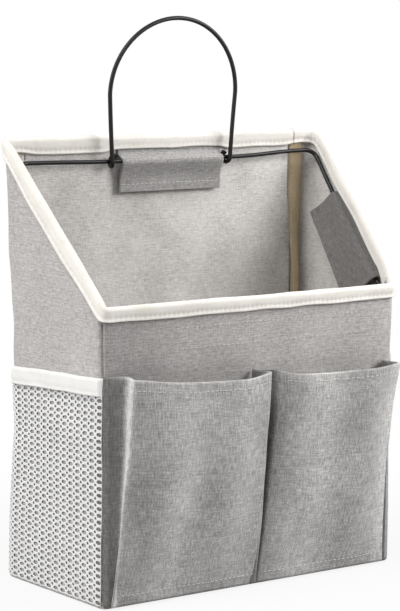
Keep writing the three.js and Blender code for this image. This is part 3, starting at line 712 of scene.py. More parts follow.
# Seam tapes: beige woven tape folded over the raw edges of the seams inside the bag, up the four
# corners and round the floor. Each stands up as a soft rounded ridge.
TAPE_WIDTH = 0.011
TAPE_RIDGE = 0.0021
TAPE_ROUNDNESS = 0.6
LEFT_TAPE_SHIFT = 0.0075
RIGHT_TAPE_SHIFT = 0.0012
REAR_TAPE_DRIFT = 0.0035
TAPE_DRIFT_RUN = 1.3
FRONT_TAPE_INSET = 0.0042
TAPE_CLOTH = 0.0005
TAPE_STAND_OFF = 0.0005
TAPE_SWAY = 0.0006
TAPE_SWAY_SIZE = 0.03
TAPE_END = 0.012
TAPE_END_RUN = 0.006
TAPE_END_FLATNESS = 0.8
FOLDED_UP_BELOW_TOP = 0.015
FOLDED_UP_RUN = 0.07
FOLDED_UP_RIDGE = 0.9
FOLDED_UP_NARROWING = 0.45
TAPE_SEAM_SHARE = 0.12
CORNER_TAPE_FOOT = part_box("corner_tape_back_left")[0].z
BACK_TAPE_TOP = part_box("corner_tape_back_left")[1].z + 0.003
FRONT_TAPE_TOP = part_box("corner_tape_front_left")[1].z
FLOOR_TAPE_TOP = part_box("floor_seam_tape")[1].z
FLOOR_TAPE_GIRTH = 0.0105

beige_tape = tape_cloth("beige_tape", [(0.23, 0.17, 0.1), (0.38, 0.3, 0.19), (0.5, 0.42, 0.3)])
beige_thread = spun_thread("beige_thread", [(0.34, 0.28, 0.2), (0.52, 0.45, 0.34)])


def ridge(across):
    """Height of a folded tape over the wall, from one edge to the other."""
    return TAPE_RIDGE * max(1 - (2 * across - 1) ** 2, 0) ** TAPE_ROUNDNESS


def corner_tape(name, run, foot, top, drift=0.0, folded_up=0.0):
    """A tape up one corner. Lower down it may drift into the corner and be folded up narrower."""
    def place(up, across):
        z = foot + (top - foot) * up
        sway = TAPE_SWAY * noise.noise(Vector((run * 40, z / TAPE_SWAY_SIZE, 2.1)))
        sway -= math.copysign(drift, run) * smooth(TAPE_DRIFT_RUN - TAPE_DRIFT_RUN * up)
        flattened = 1 - TAPE_END_FLATNESS * smooth((z - top + TAPE_END) / TAPE_END_RUN)
        closer = folded_up * smooth((BACK_TAPE_TOP - FOLDED_UP_BELOW_TOP - z) / FOLDED_UP_RUN)
        raised = CLOTH + TAPE_STAND_OFF + ridge(across) * (flattened + FOLDED_UP_RIDGE * closer)
        sideways = (across - 0.5) * TAPE_WIDTH * (1 - FOLDED_UP_NARROWING * closer)
        return on_wall(run + sideways + sway, z, -raised)

    length = top - foot
    piece = sew_sheet(f"{name}_ridge", 140, 12, place, (length, TAPE_WIDTH), TAPE_CLOTH, beige_tape)
    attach(piece, "bag")
    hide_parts(name)
    threads = bmesh.new()
    for level in (TAPE_SEAM_SHARE, 1 - TAPE_SEAM_SHARE):
        stitch_row(threads, place, straight_path((0.005, level), (0.995, level), 120))
    finish_stitches(f"{name}_stitches", threads, beige_thread, "bag")


for name, side in (("left", -1), ("right", 1)):
    rear_run = back_seam - (LEFT_TAPE_SHIFT if side < 0 else RIGHT_TAPE_SHIFT)
    corner_tape(f"corner_tape_back_{name}", side * rear_run, CORNER_TAPE_FOOT, BACK_TAPE_TOP,
                drift=REAR_TAPE_DRIFT, folded_up=max(side, 0))
    front_tape_run = side_begin + FRONT_TAPE_INSET + TAPE_WIDTH / 2
    corner_tape(f"corner_tape_front_{name}", side * front_tape_run, CORNER_TAPE_FOOT, FRONT_TAPE_TOP)


def floor_tape_place(around, up):
    """A place on the tape round the floor, at the foot of the walls."""
    run = wrapped(half_round * (1 - 2 * around))
    z = WALL_FOOT + (FLOOR_TAPE_TOP - WALL_FOOT) * up
    return on_wall(run, z, -CLOTH - TAPE_STAND_OFF - ridge(up))


floor_tape_size = (2 * half_round, FLOOR_TAPE_GIRTH)
floor_ridge = sew_sheet("floor_tape_ridge", 300, 10, floor_tape_place, floor_tape_size, TAPE_CLOTH,
                        beige_tape)
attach(floor_ridge, "bag")
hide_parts("floor_seam_tape")

# Wire frame and bail: round steel wire with a black enamel, bent to shape. The frame is one closed
# hoop under the rim, and the bail's two ends are wrapped once round its rear rod.
WIRE = 0.0026
FRAME_BEND = 0.006
ROD_INSET = 0.0039
FRONT_ROD_DROP = 0.008
BAIL_EYE_SPACING = 0.083
BAIL_ARCH = 0.044
BAIL_LEG = 0.0392
BAIL_EYE_GAP = 0.0003
BAIL_EYE_TURN = math.radians(300)
BAIL_EYE_SHIFT = 0.003
BAIL_LEAN = 0.0035
BAIL_SLIP = -0.0018
ROD_SPRING_LEFT = 0.0008
ROD_SPRING_RIGHT = 0.0022
SPRING_FROM_X = 0.046
SPRING_RUN_X = 0.05
SPRING_FROM_Y = 0.014
SPRING_RUN_Y = 0.026
BEND_STEPS = 12
ROD_STEPS = 20
EYE_STEPS = 30
LEG_STEPS = 10
ARCH_STEPS = 48

joints = {joint["name"]: joint for joint in frame["joints"]}
rear_rod = Vector(joints["bail_swing"]["pos_m"])
front_rod = Vector((0, FRONT_Y + ROD_INSET, FRONT_RIM - FRONT_ROD_DROP))


def black_enamel():
    """Black satin enamel with a fine grain and duller, worn places."""
    finish, tree = new_finish("black_enamel")
    speckle = solid_noise(tree, lumps_per_metre=900.0, detail=3.0)
    wear = solid_noise(tree, lumps_per_metre=60.0, detail=4.0)
    relief = relief_of(tree, speckle, strength=0.12, depth=0.0002)
    sheen = add_node(tree, "ShaderNodeMapRange", {"Value": wear, "To Min": 0.24, "To Max": 0.42})
    shaded(tree, {
        "Base Color": colour_steps(tree, wear, [(0.006, 0.006, 0.006), (0.014, 0.013, 0.012)]),
        "Roughness": sheen,
        "Specular IOR Level": 0.18,
        "Normal": relief,
    })
    return finish


enamel = black_enamel()


def bend_wire(name, points, closed, body, node):
    """Round wire along the points, closed to a ring or with two cut ends."""
    line = bpy.data.curves.new(name, "CURVE")
    line.dimensions = "3D"
    line.bevel_depth = WIRE / 2
    line.bevel_resolution = 5
    line.use_fill_caps = True
    run = line.splines.new("POLY")
    run.points.add(len(points) - 1)
    run.use_cyclic_u = closed
    for spot, point in zip(run.points, points):
        spot.co = (*point, 1)
    drawn = bpy.data.objects.new(name, line)
    mesh = bpy.data.meshes.new_from_object(drawn)
    bpy.data.objects.remove(drawn)
    bpy.data.curves.remove(line)
    mesh.shade_smooth()
    mesh.materials.clear()
    mesh.materials.append(enamel)
    piece = bpy.data.objects.new(name, mesh)
    scene.collection.objects.link(piece)
    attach(piece, body)
    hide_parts(node)


def rod_half(y):
    """Half the hoop's width at that depth of the bag."""
    return HALF_FRONT + (y - FRONT_Y) * math.tan(flare) - ROD_INSET / math.cos(flare)


hoop_corners = [
    Vector((side * rod_half(rod.y), rod.y, rod.z))
    for side, rod in ((-1, front_rod), (1, front_rod), (1, rear_rod), (-1, rear_rod))
]
hoop = []
for index, corner in enumerate(hoop_corners):
    onward = hoop_corners[(index + 1) % 4]
    into = (hoop_corners[index - 1] - corner).normalized()
    away = (onward - corner).normalized()
    reach = FRAME_BEND / math.tan(into.angle(away) / 2)
    middle = corner + (into + away).normalized() * FRAME_BEND / math.sin(into.angle(away) / 2)
    first = (corner + into * reach - middle).normalized()
    last = (corner + away * reach - middle).normalized()
    bend = [middle + FRAME_BEND * first.slerp(last, step / BEND_STEPS) for step in range(BEND_STEPS + 1)]
    straight = 1 - reach / (onward - bend[-1]).length
    hoop += bend
    hoop += [bend[-1].lerp(onward, step / ROD_STEPS * straight) for step in range(1, ROD_STEPS)]
for point in hoop:
    spring = ROD_SPRING_RIGHT if point.x > 0 else ROD_SPRING_LEFT
    spring *= smooth((abs(point.x) - SPRING_FROM_X) / SPRING_RUN_X)
    point.z += spring * smooth((point.y - SPRING_FROM_Y) / SPRING_RUN_Y)
bend_wire("frame_wire", hoop, True, "bag", "wire_frame")

eye_radius = WIRE + BAIL_EYE_GAP


def bail_eye(side, share):
    """A place along the wrap of an eye, from where it leaves the leg to its cut end."""
    turn = BAIL_EYE_TURN * share
    x = side * (BAIL_EYE_SPACING / 2 - BAIL_EYE_SHIFT * share)
    return Vector((x, -eye_radius * math.cos(turn), -eye_radius * math.sin(turn)))


def bail_arch(share):
    """A place along the bail's round top, from left to right."""
    turn = math.pi * share
    return Vector((-BAIL_ARCH * math.cos(turn), -eye_radius, BAIL_LEG + BAIL_ARCH * math.sin(turn)))


bail_line = [bail_eye(-1, 1 - step / EYE_STEPS) for step in range(EYE_STEPS + 1)]
bail_line += [bail_eye(-1, 0).lerp(bail_arch(0), step / LEG_STEPS) for step in range(1, LEG_STEPS)]
bail_line += [bail_arch(step / ARCH_STEPS) for step in range(ARCH_STEPS + 1)]
bail_line += [bail_arch(1).lerp(bail_eye(1, 0), step / LEG_STEPS) for step in range(1, LEG_STEPS)]
bail_line += [bail_eye(1, step / EYE_STEPS) for step in range(EYE_STEPS + 1)]
bail_top = BAIL_LEG + BAIL_ARCH
bail_line = [
    rear_rod + point + Vector((BAIL_SLIP + BAIL_LEAN * max(point.z / bail_top, 0) ** 2, 0, 0))
    for point in bail_line
]
bend_wire("bail_wire", bail_line, False, "bail", "hanging_bail")

# Frame tabs: four doubled straps of a darker cloth, sewn under the rim binding, laid over the wire
# and closed on the wall with hook and loop tape. The side tabs hang open and twisted, in a still
# darker copy of the cloth that paints the shade they hang in.
STRAP = 0.001
STRAP_END = 0.025
STRAP_TUCK = 0.004
SIDE_STRAP_END = 0.023
SIDE_TAB_SKEW = 0.0045
SIDE_TAB_WIDTH = 0.068
SIDE_TAB_SHIFT = 0.0055
SIDE_TAB_OPENING = math.radians(25.5)
STRAP_SETTLED = 0.0015
STRAP_WAVE = 0.0006
STRAP_WAVE_SIZE = 0.02
OPEN_CURL = 0.22
OPEN_AT_REAR = 0.9
OPEN_TWIST = 0.28
TOUCH_TAPE_HEIGHT = 0.011
TOUCH_TAPE_MARGIN = 0.002
FRONT_TAPE_MARGIN = 0.0045
HOOK_TAPE = 0.0006
HOOK_PITCH = 0.0016
HOOK_HEIGHT = 0.0006
HOOK_FOOT = 0.00032
HOOK_TIP = 0.00016
LOOP_TAPE = 0.0008
LOOP_GAP = 0.0002
TAB_ROW_LEVELS = (0.4, 0.86)

strap_linen = linen("strap_linen", [(0.12, 0.116, 0.112), (0.3, 0.29, 0.283), (0.5, 0.488, 0.477)])
# Painted shade: a darker copy of the strap cloth for the side tabs, for the shade they hang in.
shaded_tab_linen = linen("shaded_tab_linen", [(0.068, 0.065, 0.062), (0.138, 0.132, 0.127), (0.225, 0.216, 0.207)])
pale_thread = spun_thread("pale_thread", [(0.42, 0.41, 0.395), (0.7, 0.685, 0.665)])


def touch_tape(name, nap):
    """Hook or loop tape: a dark woven ground with a nap of fine fibres."""
    finish, tree = new_finish(name)
    lay = add_node(tree, "ShaderNodeUVMap", {}, uv_map="weave")
    fuzz = stretched_noise(tree, lay, (nap, nap), 5.0)
    ground = stretched_noise(tree, lay, (240, 240), 2.0)
    relief = relief_of(tree, fuzz, strength=0.8, depth=0.0006)
    shaded(tree, {
        "Base Color": colour_steps(tree, weighted(tree, [(fuzz, 0.9), (ground, 0.5)]),
                                   [(0.1, 0.096, 0.09), (0.2, 0.193, 0.185), (0.32, 0.31, 0.3)]),
        "Roughness": 0.95,
        "Sheen Weight": 0.25,
        "Normal": relief,
    })
    return finish


loop_nap = touch_tape("loop_nap", 1500)
hook_ground = touch_tape("hook_ground", 2600)


def eased_line(points, share):
    """A smooth line through the points."""
    at = min(max(share, 0.0), 0.99999) * (len(points) - 1)
    first = int(at)
    t = at - first
    a, b, c, d = (points[min(max(first + step, 0), len(points) - 1)] for step in (-1, 0, 1, 2))
    return b + 0.5 * t * ((c - a) + t * ((2 * a - 5 * b + 4 * c - d) + t * (3 * (b - c) + d - a)))


def make_tab(side_name, width, length, path, wall_run, inward, cloth, opening=0.0, shift=0.0, skew=0.0,
             tape_margin=TOUCH_TAPE_MARGIN):
    """A strap over the wire with its hook tape, and the loop tape that it closes on.

    The path is the strap's line over the wire, as distances in from its sewn edge and up from it.
    Wall_run gives the place round the outline of a spot on the wall.
    """
    joint = joints[f"tab_{side_name}_lift"]
    body = f"tab_{side_name}"
    root, axis = Vector(joint["pos_m"]), Vector(joint["axis"])
    upward = axis.cross(inward)
    middle = root + axis * shift
    line = [Vector(point) for point in path]
    last = line[-1]
    line += [Vector((STRAP_SETTLED, last.y + (-length - last.y) * step / 4)) for step in range(1, 5)]
    to_front = axis.y < 0
    lengths = [(b - a).length for a, b in zip(line, line[1:])]
    reach = sum(lengths)
    size = (width, reach)

    def profile(down):
        gone = down * reach
        for index, span in enumerate(lengths):
            if gone <= span or index == len(lengths) - 1:
                return eased_line(line, (index + gone / span) / len(lengths))
            gone -= span

    def place(across, down, lift=0.0):
        step = 0.01
        point = profile(down)
        along = profile(min(down + step, 1)) - profile(max(down - step, 0))
        along.normalize()
        point = point + lift * Vector((-along.y, along.x))
        sideways = (across - 0.5) * width
        wave = noise.noise(Vector((sideways / STRAP_WAVE_SIZE, down * 2, root.x * 30 + 3.1)))
        point.x += STRAP_WAVE * wave * smooth(down * 2 - 0.6)
        forward = across if to_front else 1 - across
        opened = smooth(down * reach / STRAP_TUCK - 0.5) + OPEN_CURL * down * down
        turn = opening * (OPEN_AT_REAR + OPEN_TWIST * forward) * opened
        point.y += skew * (0.5 - forward) * smooth(down)
        x = point.x * math.cos(turn) - point.y * math.sin(turn)
        y = point.x * math.sin(turn) + point.y * math.cos(turn)
        return middle + axis * sideways + inward * x + upward * y

    def downward(across, up):
        return place(across, 1 - up)

    strap = sew_sheet(f"{body}_strap", 70, 60, downward, size, STRAP, cloth, offset=0.0)
    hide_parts(body)
    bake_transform(strap)

    tape_end = 1 - tape_margin / reach
    tape_start = tape_end - TOUCH_TAPE_HEIGHT / reach
    edge = TOUCH_TAPE_MARGIN / width
    tape_size = (width - 2 * TOUCH_TAPE_MARGIN, TOUCH_TAPE_HEIGHT)

    def hook_place(across, up):
        return place(1 - edge - across * (1 - 2 * edge), tape_end + (tape_start - tape_end) * up,
                     -STRAP / 2 - HOOK_TAPE)

    hooks = sew_sheet(f"{body}_hooks", 40, 8, hook_place, tape_size, HOOK_TAPE, hook_ground)
    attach(hooks, body)
    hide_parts(f"hook_tape_{side_name}")
    barbs = bmesh.new()
    raise_by = Matrix.Translation((0, 0, HOOK_HEIGHT / 2))
    nudge = 0.01
    columns, rows = int(tape_size[0] / HOOK_PITCH), int(tape_size[1] / HOOK_PITCH)
    for column in range(columns):
        for row in range(rows):
            across, up = (column + 0.5) / columns, (row + 0.5) / rows
            base = hook_place(across, up)
            face = (hook_place(across + nudge, up) - base).cross(hook_place(across, up + nudge) - base)
            turn = face.to_track_quat("Z", "Y").to_matrix().to_4x4()
            bmesh.ops.create_cone(barbs, cap_ends=True, segments=5, radius1=HOOK_FOOT, radius2=HOOK_TIP,
                                  depth=HOOK_HEIGHT, matrix=Matrix.Translation(base) @ turn @ raise_by)
    barbs.loops.layers.uv.new("weave")
    barb_piece = finish_piece(f"{body}_barbs", barbs, hook_ground)
    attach(barb_piece, body)

    def loop_place(across, up):
        down = length - tape_margin - TOUCH_TAPE_HEIGHT * up
        spot = middle + axis * ((across - 0.5) * tape_size[0]) - upward * down
        return on_wall(wall_run(spot), spot.z, -CLOTH - LOOP_GAP - LOOP_TAPE)

    loops = sew_sheet(f"{body}_loops", 60, 10, loop_place, tape_size, LOOP_TAPE, loop_nap)
    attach(loops, "bag")
    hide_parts(f"loop_tape_{side_name}")
    return place


def side_run(side):
    """For a spot on a side wall, its place round the outline."""
    return lambda spot: side * (side_begin + (spot.y - side_start.y) / math.cos(flare))


rear_path = [(-0.0013, 0.004), (-0.0013, 0.001), (-0.0009, -0.0014), (0.0026, -0.0042), (0.0049, -0.0056),
             (0.0054, -0.0076), (0.0042, -0.0102), (0.0026, -0.0134), (0.0017, -0.0165)]
short_path = [(-0.0013, 0.004), (-0.0013, 0.002), (-0.0008, 0.0006), (0.0008, 0.0), (0.0024, -0.0008),
              (0.0029, -0.0023), (0.0024, -0.0045), (0.0018, -0.0075)]
side_path = [(-0.0013, 0.004), (-0.0011, 0.002), (-0.0002, 0.0009), (0.0013, 0.0001), (0.0025, -0.0012),
             (0.0029, -0.003), (0.0026, -0.0052), (0.0021, -0.008)]
back_tab = make_tab("back", 2 * REAR_TAB_HALF, STRAP_END, rear_path,
                    wall_run=lambda spot: wrapped(half_round - spot.x), inward=Vector((0, -1, 0)),
                    cloth=strap_linen)
make_tab("front", 2 * FRONT_TAB_HALF, STRAP_END, short_path,
         wall_run=lambda spot: spot.x, inward=Vector((0, 1, 0)),
         cloth=strap_linen, tape_margin=FRONT_TAPE_MARGIN)
for name, side in (("left", -1), ("right", 1)):
    leaning = Vector((-side * math.cos(flare), math.sin(flare), 0))
    # Painted shade: the side tabs take the darker copy of the strap cloth.
    make_tab(name, SIDE_TAB_WIDTH, SIDE_STRAP_END, side_path, wall_run=side_run(side), inward=leaning,
             cloth=shaded_tab_linen, opening=SIDE_TAB_OPENING, shift=side * SIDE_TAB_SHIFT, skew=SIDE_TAB_SKEW)
tab_threads = bmesh.new()


def tab_face(across, down):
    """A place on the back tab's face."""
    return back_tab(across, down, STRAP / 2)


for level in TAB_ROW_LEVELS:
    stitch_row(tab_threads, tab_face, straight_path((0.02, level), (0.98, level), 40))
finish_stitches("back_tab_stitches", tab_threads, pale_thread, "tab_back")

# Front pockets: two pockets side by side, each one cloth with pleats at its edges so that it can stand
# out. The mouths have a turned hem and sag unevenly, and the lower edge is sewn into the floor seam.
POCKET_CLOTH = 0.0009
POCKET_HEM = 0.008
POCKET_ROLL = 0.0007
POCKET_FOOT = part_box("front_pocket_left")[0].z
POCKET_COLOURS = [(0.12, 0.117, 0.113), (0.35, 0.343, 0.336), (0.66, 0.65, 0.64)]
POCKET_SWELL = 0.0042
POCKET_SWELL_RUN = 1.6
POCKET_BELLY = 1.5
POCKET_WAVE = 0.051
POCKET_WAVE_HEIGHT = 0.0024
POCKET_DENT = 0.0008
POCKET_DENT_WIDTH = 0.024
POCKET_DENT_HEIGHT = 0.034
POCKET_WAVE_ACROSS = 0.7
POCKET_WAVE_UP = 0.6
POCKET_WAVE_REACH = 0.94
POCKET_FOOT_ROW = 0.0058
POCKET_ROW_END = 0.01
FOLD_TAPS = 4


def pocket(name, mouth, hem, mouth_heights, late_flare, wave_start, wave_lean, painted_shading, softness, hem_row,
           row_start):
    """A pocket from the corners of its folded cloth at the mouth and at the lower hem, left to right.

    The mouth's heights run from its left end to the right end of the face, in even steps.
    With late_flare 1 the right edge of the face stands out only near the mouth. Softness is the width
    over which a fold is rounded. The upright waves start at wave_start and lean to the right as they rise.
    Hem_row is the mouth's stitch row below the edge, and row_start the place where both rows begin.
    """
    mouth = [Vector(corner) for corner in mouth]
    hem = [Vector(corner) for corner in hem]
    lengths = [(b - a).length for a, b in zip(mouth, mouth[1:])]
    girth = sum(lengths)
    face = lengths.index(max(lengths))
    face_start = sum(lengths[:face]) / girth
    face_share = lengths[face] / girth

    def along_fold(corners, share):
        gone = min(max(share, 0.0), 1.0) * girth
        for index, length in enumerate(lengths):
            if gone <= length or index == len(lengths) - 1:
                return corners[index].lerp(corners[index + 1], min(gone / length, 1))
            gone -= length

    @lru_cache(maxsize=None)
    def rounded(share):
        taps = [share + tap * softness / girth / FOLD_TAPS for tap in range(-FOLD_TAPS, FOLD_TAPS + 1)]
        return [
            sum((along_fold(corners, at) for at in taps), Vector((0, 0))) / len(taps)
            for corners in (hem, mouth)
        ]

    def section(share, level):
        low, high = rounded(share)
        belly = 1 - (1 - level) ** POCKET_BELLY
        late = late_flare * smooth(2 * (share - face_start) / face_share - 1)
        drift = belly + late * (level ** 3 - belly)
        return low.lerp(high, drift)

    def mouth_height(share):
        return eased_line(mouth_heights, share / (face_start + face_share))

    def place(share, up):
        height = mouth_height(share) - POCKET_FOOT
        gone = up * (height + math.pi * POCKET_ROLL + POCKET_HEM)
        inset = 0.0
        if gone <= height:
            rise = gone
        elif gone <= height + math.pi * POCKET_ROLL:
            turn = (gone - height) / POCKET_ROLL
            rise, inset = height + POCKET_ROLL * math.sin(turn), POCKET_ROLL * (1 - math.cos(turn))
        else:
            rise, inset = 2 * height + math.pi * POCKET_ROLL - gone, 2 * POCKET_ROLL
        level = min(rise / height, 1)
        spot = section(share, level)
        nudge = 0.004
        ahead = section(share + nudge, level) - section(share - nudge, level)
        ahead.normalize()
        spot = spot + inset * Vector((ahead.y, -ahead.x))
        over = (share - face_start) / face_share
        if 0 < over < 1:
            mask = math.sin(math.pi * over) ** POCKET_WAVE_ACROSS
            mask *= math.sin(math.pi * min(level * POCKET_WAVE_REACH, 1)) ** POCKET_WAVE_UP
            wave = math.sin(2 * math.pi * (spot.x - wave_start - wave_lean * rise) / POCKET_WAVE)
            dented = Vector((spot.x / POCKET_DENT_WIDTH, rise / POCKET_DENT_HEIGHT, wave_lean * 50))
            dent = noise.noise(dented)
            swell = math.sin(math.pi * over) * smooth(level * POCKET_SWELL_RUN) * POCKET_SWELL
            spot.y += swell + mask * (POCKET_DENT * dent - POCKET_WAVE_HEIGHT * wave)
        z = POCKET_FOOT + rise
        return Vector((spot.x, FRONT_Y - spot.y + wall_slack(spot.x, z), z))

    middle = sum(mouth_heights) / len(mouth_heights) - POCKET_FOOT + math.pi * POCKET_ROLL + POCKET_HEM
    # Painted shade and painted highlight: the tone table darkens the pleats towards their seams and lightens
    # the pressed folds and broad bands on the face.
    pocket_linen = linen(f"{name}_linen", POCKET_COLOURS, slub_length=0.0055, thread=0.0008, toning=0.55,
                         upright=1.1, painted_shading=painted_shading)
    cloth = sew_sheet(f"{name}_cloth", 190, 110, place, (girth, middle), POCKET_CLOTH, pocket_linen)
    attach(cloth, "bag")
    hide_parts(name)
    threads = bmesh.new()
    row_end = face_start + face_share - POCKET_ROW_END
    for rise in (POCKET_FOOT_ROW, middle - POCKET_HEM - math.pi * POCKET_ROLL - hem_row):
        level = rise / middle
        stitch_row(threads, place, straight_path((row_start / girth, level), (row_end, level), 90))
    finish_stitches(f"{name}_stitches", threads, pale_thread, "bag")


pocket(
    "front_pocket_left",
    mouth=[
        (-0.0999, -0.0016), (-0.0978, 0.0012), (-0.0872, 0.004), (-0.0899, 0.0144),
        (0.0032, 0.0148), (-0.0022, 0.004), (-0.0008, 0.0012),
    ],
    hem=[
        (-0.0999, -0.0016), (-0.0984, 0.0012), (-0.092, 0.0018), (-0.0969, 0.0024),
        (0.0012, 0.0026), (-0.0038, 0.0019), (-0.0008, 0.0012),
    ],
    mouth_heights=[0.1298, 0.1296, 0.1291, 0.1271, 0.1258, 0.1248, 0.1241, 0.1239, 0.126],
    late_flare=0.0,
    wave_start=-0.071,
    wave_lean=0.18,
    # Painted shade in the left pleat and in the pleat behind the right tip; painted highlight on the pressed
    # left fold and a broad band across the face.
    painted_shading=[
        (0.0, 0.36), (0.0115, 0.6), (0.0155, 1.1), (0.0205, 1.65), (0.0245, 1.4), (0.0285, 0.88),
        (0.038, 0.86), (0.062, 1.16), (0.085, 1.0), (0.1198, 1.0), (0.1235, 0.5), (0.1335, 0.4),
    ],
    softness=0.0022,
    hem_row=0.0052,
    row_start=0.0275,
)
pocket(
    "front_pocket_right",
    mouth=[
        (0.0008, 0.0012), (0.0105, 0.0018), (0.0122, 0.0062), (0.0185, 0.01), (0.027, 0.0127),
        (0.038, 0.0142), (0.0948, 0.016), (0.0902, 0.004), (0.0978, 0.0012), (0.0999, -0.0016),
    ],
    hem=[
        (0.0002, 0.0012), (0.001, 0.0014), (0.0018, 0.0019), (0.0055, 0.0023), (0.0115, 0.0025),
        (0.0215, 0.0026), (0.0952, 0.0028), (0.0936, 0.0019), (0.0984, 0.0012), (0.0999, -0.0016),
    ],
    mouth_heights=[0.1244, 0.1244, 0.1228, 0.1221, 0.1219, 0.1222, 0.12245, 0.1229, 0.1234],
    late_flare=1.0,
    wave_start=0.034,
    wave_lean=0.05,
    # Painted shade on the ramp beside the left pocket and in the right pleat; painted highlight on the right
    # edge and a broad band across the face.
    painted_shading=[
        (0.0, 0.36), (0.0115, 0.42), (0.0165, 0.88), (0.027, 0.94), (0.045, 1.2), (0.062, 0.96),
        (0.088, 0.95), (0.0975, 1.4), (0.0993, 1.2), (0.102, 0.5), (0.1105, 0.45), (0.115, 0.9),
        (0.1231, 1.0),
    ],
    softness=0.0014,
    hem_row=0.004,
    row_start=0.02,
)

# Side nets: an open knit with a row of oval holes and a small hole between each four, on the outside
# of both side walls. Its upper edge is bound with a folded cream tape.
NET_FOOT = 0.0015
NET_FRONT_TOP = 0.1265
NET_BACK_TOP = 0.117
NET_HOLE_COLUMNS = 13
NET_HOLE_ROWS = 33
NET_WIDE_CELL = 0.71
NET_OVAL = (1.12, 0.95)
NET_SMALL_OVAL = (1.4, 0.66)
NET_THREAD = 0.0004
NET_STAND_OFF = 0.0004
NET_HOLE_INSET = 0.0002
NET_PAST_FRONT_CORNER = 0.0008
NET_PAST_REAR_CORNER = 0.005
BAND_HEIGHT = 0.0096
BAND_FRONT_TOP = 0.1288
BAND_BACK_TOP = 0.1238
BAND_FOLD = 0.0007
BAND_PAST_NET = 0.001
BAND_LUMP = 0.0004
BAND_LUMP_SIZE = 0.02
BAND_FOLD_LUMPS = 0.25
BAND_FOLD_LUMP_SIZE = 0.016
BAND_SEAM_DROP = 0.0078
BAND_PINCH = 0.35
BAND_PINCH_WIDTH = 0.0014
BAND_END_SHARE = 0.03
BAND_END_SUNK = 0.0012
BAND_STAND_OFF = 0.0003
BAND_STITCH_INSET = 0.0022

net_start = side_begin - NET_PAST_FRONT_CORNER
net_end = side_finish + NET_PAST_REAR_CORNER
net_size = (net_end - net_start, NET_FRONT_TOP - NET_FOOT)
band_leg = BAND_HEIGHT - BAND_FOLD
band_size = (net_size[0] + 2 * BAND_PAST_NET, 2 * band_leg + math.pi * BAND_FOLD)


def knit(name, colours):
    """Soft white yarn with loose fibres."""
    finish, tree = new_finish(name)
    fibre = solid_noise(tree, lumps_per_metre=1500.0, detail=4.0)
    blotch = solid_noise(tree, lumps_per_metre=90.0, detail=2.0)
    relief = relief_of(tree, fibre, strength=0.4, depth=0.0003)
    shaded(tree, {
        "Base Color": colour_steps(tree, weighted(tree, [(fibre, 0.7), (blotch, 0.5)]), colours),
        "Roughness": 0.75,
        "Sheen Weight": 0.15,
        "Normal": relief,
    })
    return finish


white_tape = tape_cloth("white_tape", [(0.56, 0.545, 0.52), (0.68, 0.67, 0.65), (0.75, 0.74, 0.72)])
white_knit = knit("white_knit", [(0.46, 0.46, 0.455), (0.6, 0.6, 0.595), (0.7, 0.7, 0.695)])


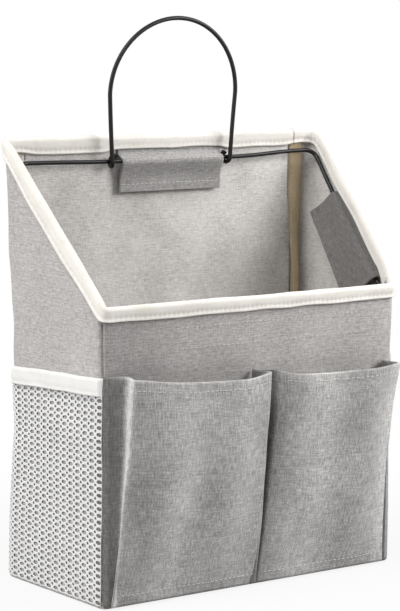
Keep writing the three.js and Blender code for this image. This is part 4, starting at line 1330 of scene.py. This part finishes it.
def side_net(side_name, side):
    """The net on one side wall: a grid whose joined cells become the holes, with its band."""
    columns, rows = 2 * NET_HOLE_COLUMNS + 1, 2 * NET_HOLE_ROWS
    net = bmesh.new()
    bmesh.ops.create_grid(net, x_segments=columns, y_segments=rows, size=0.5)
    cells = {}
    for cell in net.faces:
        middle = cell.calc_center_median() + Vector((0.5, 0.5, 0))
        cells[cell] = (int(middle.x * columns), int(middle.y * rows))
    joined = []
    for edge in net.edges:
        if len(edge.link_faces) == 2:
            (column, row), (other, above) = (cells[cell] for cell in edge.link_faces)
            if column == other and min(row, above) % 2 == column % 2:
                joined.append(edge)
    bmesh.ops.dissolve_edges(net, edges=joined, use_verts=False)
    for point in net.verts:
        line = round((point.co.x + 0.5) * columns)
        pairs, odd = divmod(line, 2)
        across = pairs + NET_WIDE_CELL * odd
        point.co.x = across / (NET_HOLE_COLUMNS + NET_WIDE_CELL) * net_size[0]
        point.co.y = (point.co.y + 0.5) * net_size[1]
    holes = [cell for cell in net.faces if len(cell.verts) > 4]
    bmesh.ops.inset_individual(net, faces=holes, thickness=NET_HOLE_INSET)
    for hole in holes:
        middle = hole.calc_center_bounds()
        half_x, half_y = (max(abs(corner.co[way] - middle[way]) for corner in hole.verts) for way in (0, 1))
        wide, high = NET_OVAL if half_x > half_y else NET_SMALL_OVAL
        for corner in hole.verts:
            away = corner.co - middle
            turn = math.atan2(away.y / half_y, away.x / half_x)
            corner.co = middle + Vector((math.cos(turn) * half_x * wide, math.sin(turn) * half_y * high, 0))
    bmesh.ops.delete(net, geom=holes, context="FACES")
    for point in net.verts:
        run = net_start + point.co.x if side > 0 else net_end - point.co.x
        lowered = (NET_FRONT_TOP - NET_BACK_TOP) * (run - net_start) / net_size[0]
        point.co = on_wall(side * run, NET_FOOT + point.co.y * (1 - lowered / net_size[1]), NET_STAND_OFF)
    piece = finish_piece(f"side_net_{side_name}_knit", net, white_knit)
    rounded = piece.modifiers.new("rounded_holes", "SUBSURF")
    rounded.levels = rounded.render_levels = 1
    yarn = piece.modifiers.new("thickness", "SOLIDIFY")
    yarn.thickness = NET_THREAD
    yarn.offset = 1.0
    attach(piece, "bag")
    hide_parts(f"side_net_{side_name}")

    def band_place(around, across):
        run = side * (net_start - BAND_PAST_NET + band_size[0] * (around if side > 0 else 1 - around))
        share = (abs(run) - net_start) / net_size[0]
        top = BAND_FRONT_TOP + (BAND_BACK_TOP - BAND_FRONT_TOP) * share
        top += BAND_LUMP * lumps(run, 2, BAND_LUMP_SIZE)
        fold = BAND_FOLD * (1 + BAND_FOLD_LUMPS * lumps(run, across, BAND_FOLD_LUMP_SIZE))
        drop, out = folded_over(across * band_size[1], band_leg, BAND_FOLD, fold, BAND_HEIGHT)
        pinch = (drop - BAND_SEAM_DROP) / BAND_PINCH_WIDTH
        out *= 1 - BAND_PINCH * math.exp(-pinch * pinch)
        closed = smooth(share / BAND_END_SHARE) * smooth((1 - share) / BAND_END_SHARE)
        out = (out + BAND_FOLD) * closed - BAND_END_SUNK * (1 - closed) + BAND_STAND_OFF
        return on_wall(run, top - drop, out)

    band = sew_sheet(f"net_band_{side_name}_tape", 110, 26, band_place, band_size, BINDING_TAPE, white_tape,
                     offset=1.0)
    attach(band, "bag")
    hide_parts(f"net_band_{side_name}")
    threads = bmesh.new()
    level = BAND_STITCH_INSET / band_size[1]
    stitch_row(threads, band_place, straight_path((0.01, level), (0.99, level), 80))
    finish_stitches(f"net_band_{side_name}_stitches", threads, cream_thread, "bag")


side_net("left", -1)
side_net("right", 1)

# Stitching of the front and back loop tapes: pale thread sewn through the wall along both long edges
# of the tape, so that two rows show on the wall's outside.
FRONT_ROWS_LEFT = -0.054
FRONT_ROWS_LENGTH = 0.126
FRONT_ROWS_FOOT = 0.1413
FRONT_ROWS_HEIGHT = 0.0128
BACK_ROWS_LEFT = 0.0335
BACK_ROWS_LENGTH = 0.067
BACK_ROWS_FOOT = 0.2225
BACK_ROWS_HEIGHT = 0.0115
TAPE_ROW_LEVELS = (0.04, 0.96)

tape_threads = bmesh.new()


def front_face(across, up):
    """A place in the front wall's field of stitches."""
    x = FRONT_ROWS_LEFT + FRONT_ROWS_LENGTH * across
    return on_wall(x, FRONT_ROWS_FOOT + FRONT_ROWS_HEIGHT * up)


def back_face(across, up):
    """A place in the back wall's field of stitches, from its left as seen from behind."""
    x = BACK_ROWS_LEFT - BACK_ROWS_LENGTH * across
    return on_wall(wrapped(half_round - x), BACK_ROWS_FOOT + BACK_ROWS_HEIGHT * up)


for face in (front_face, back_face):
    for level in TAPE_ROW_LEVELS:
        stitch_row(tape_threads, face, straight_path((0.0, level), (1.0, level), 60))
finish_stitches("tape_stitches", tape_threads, pale_thread, "bag")
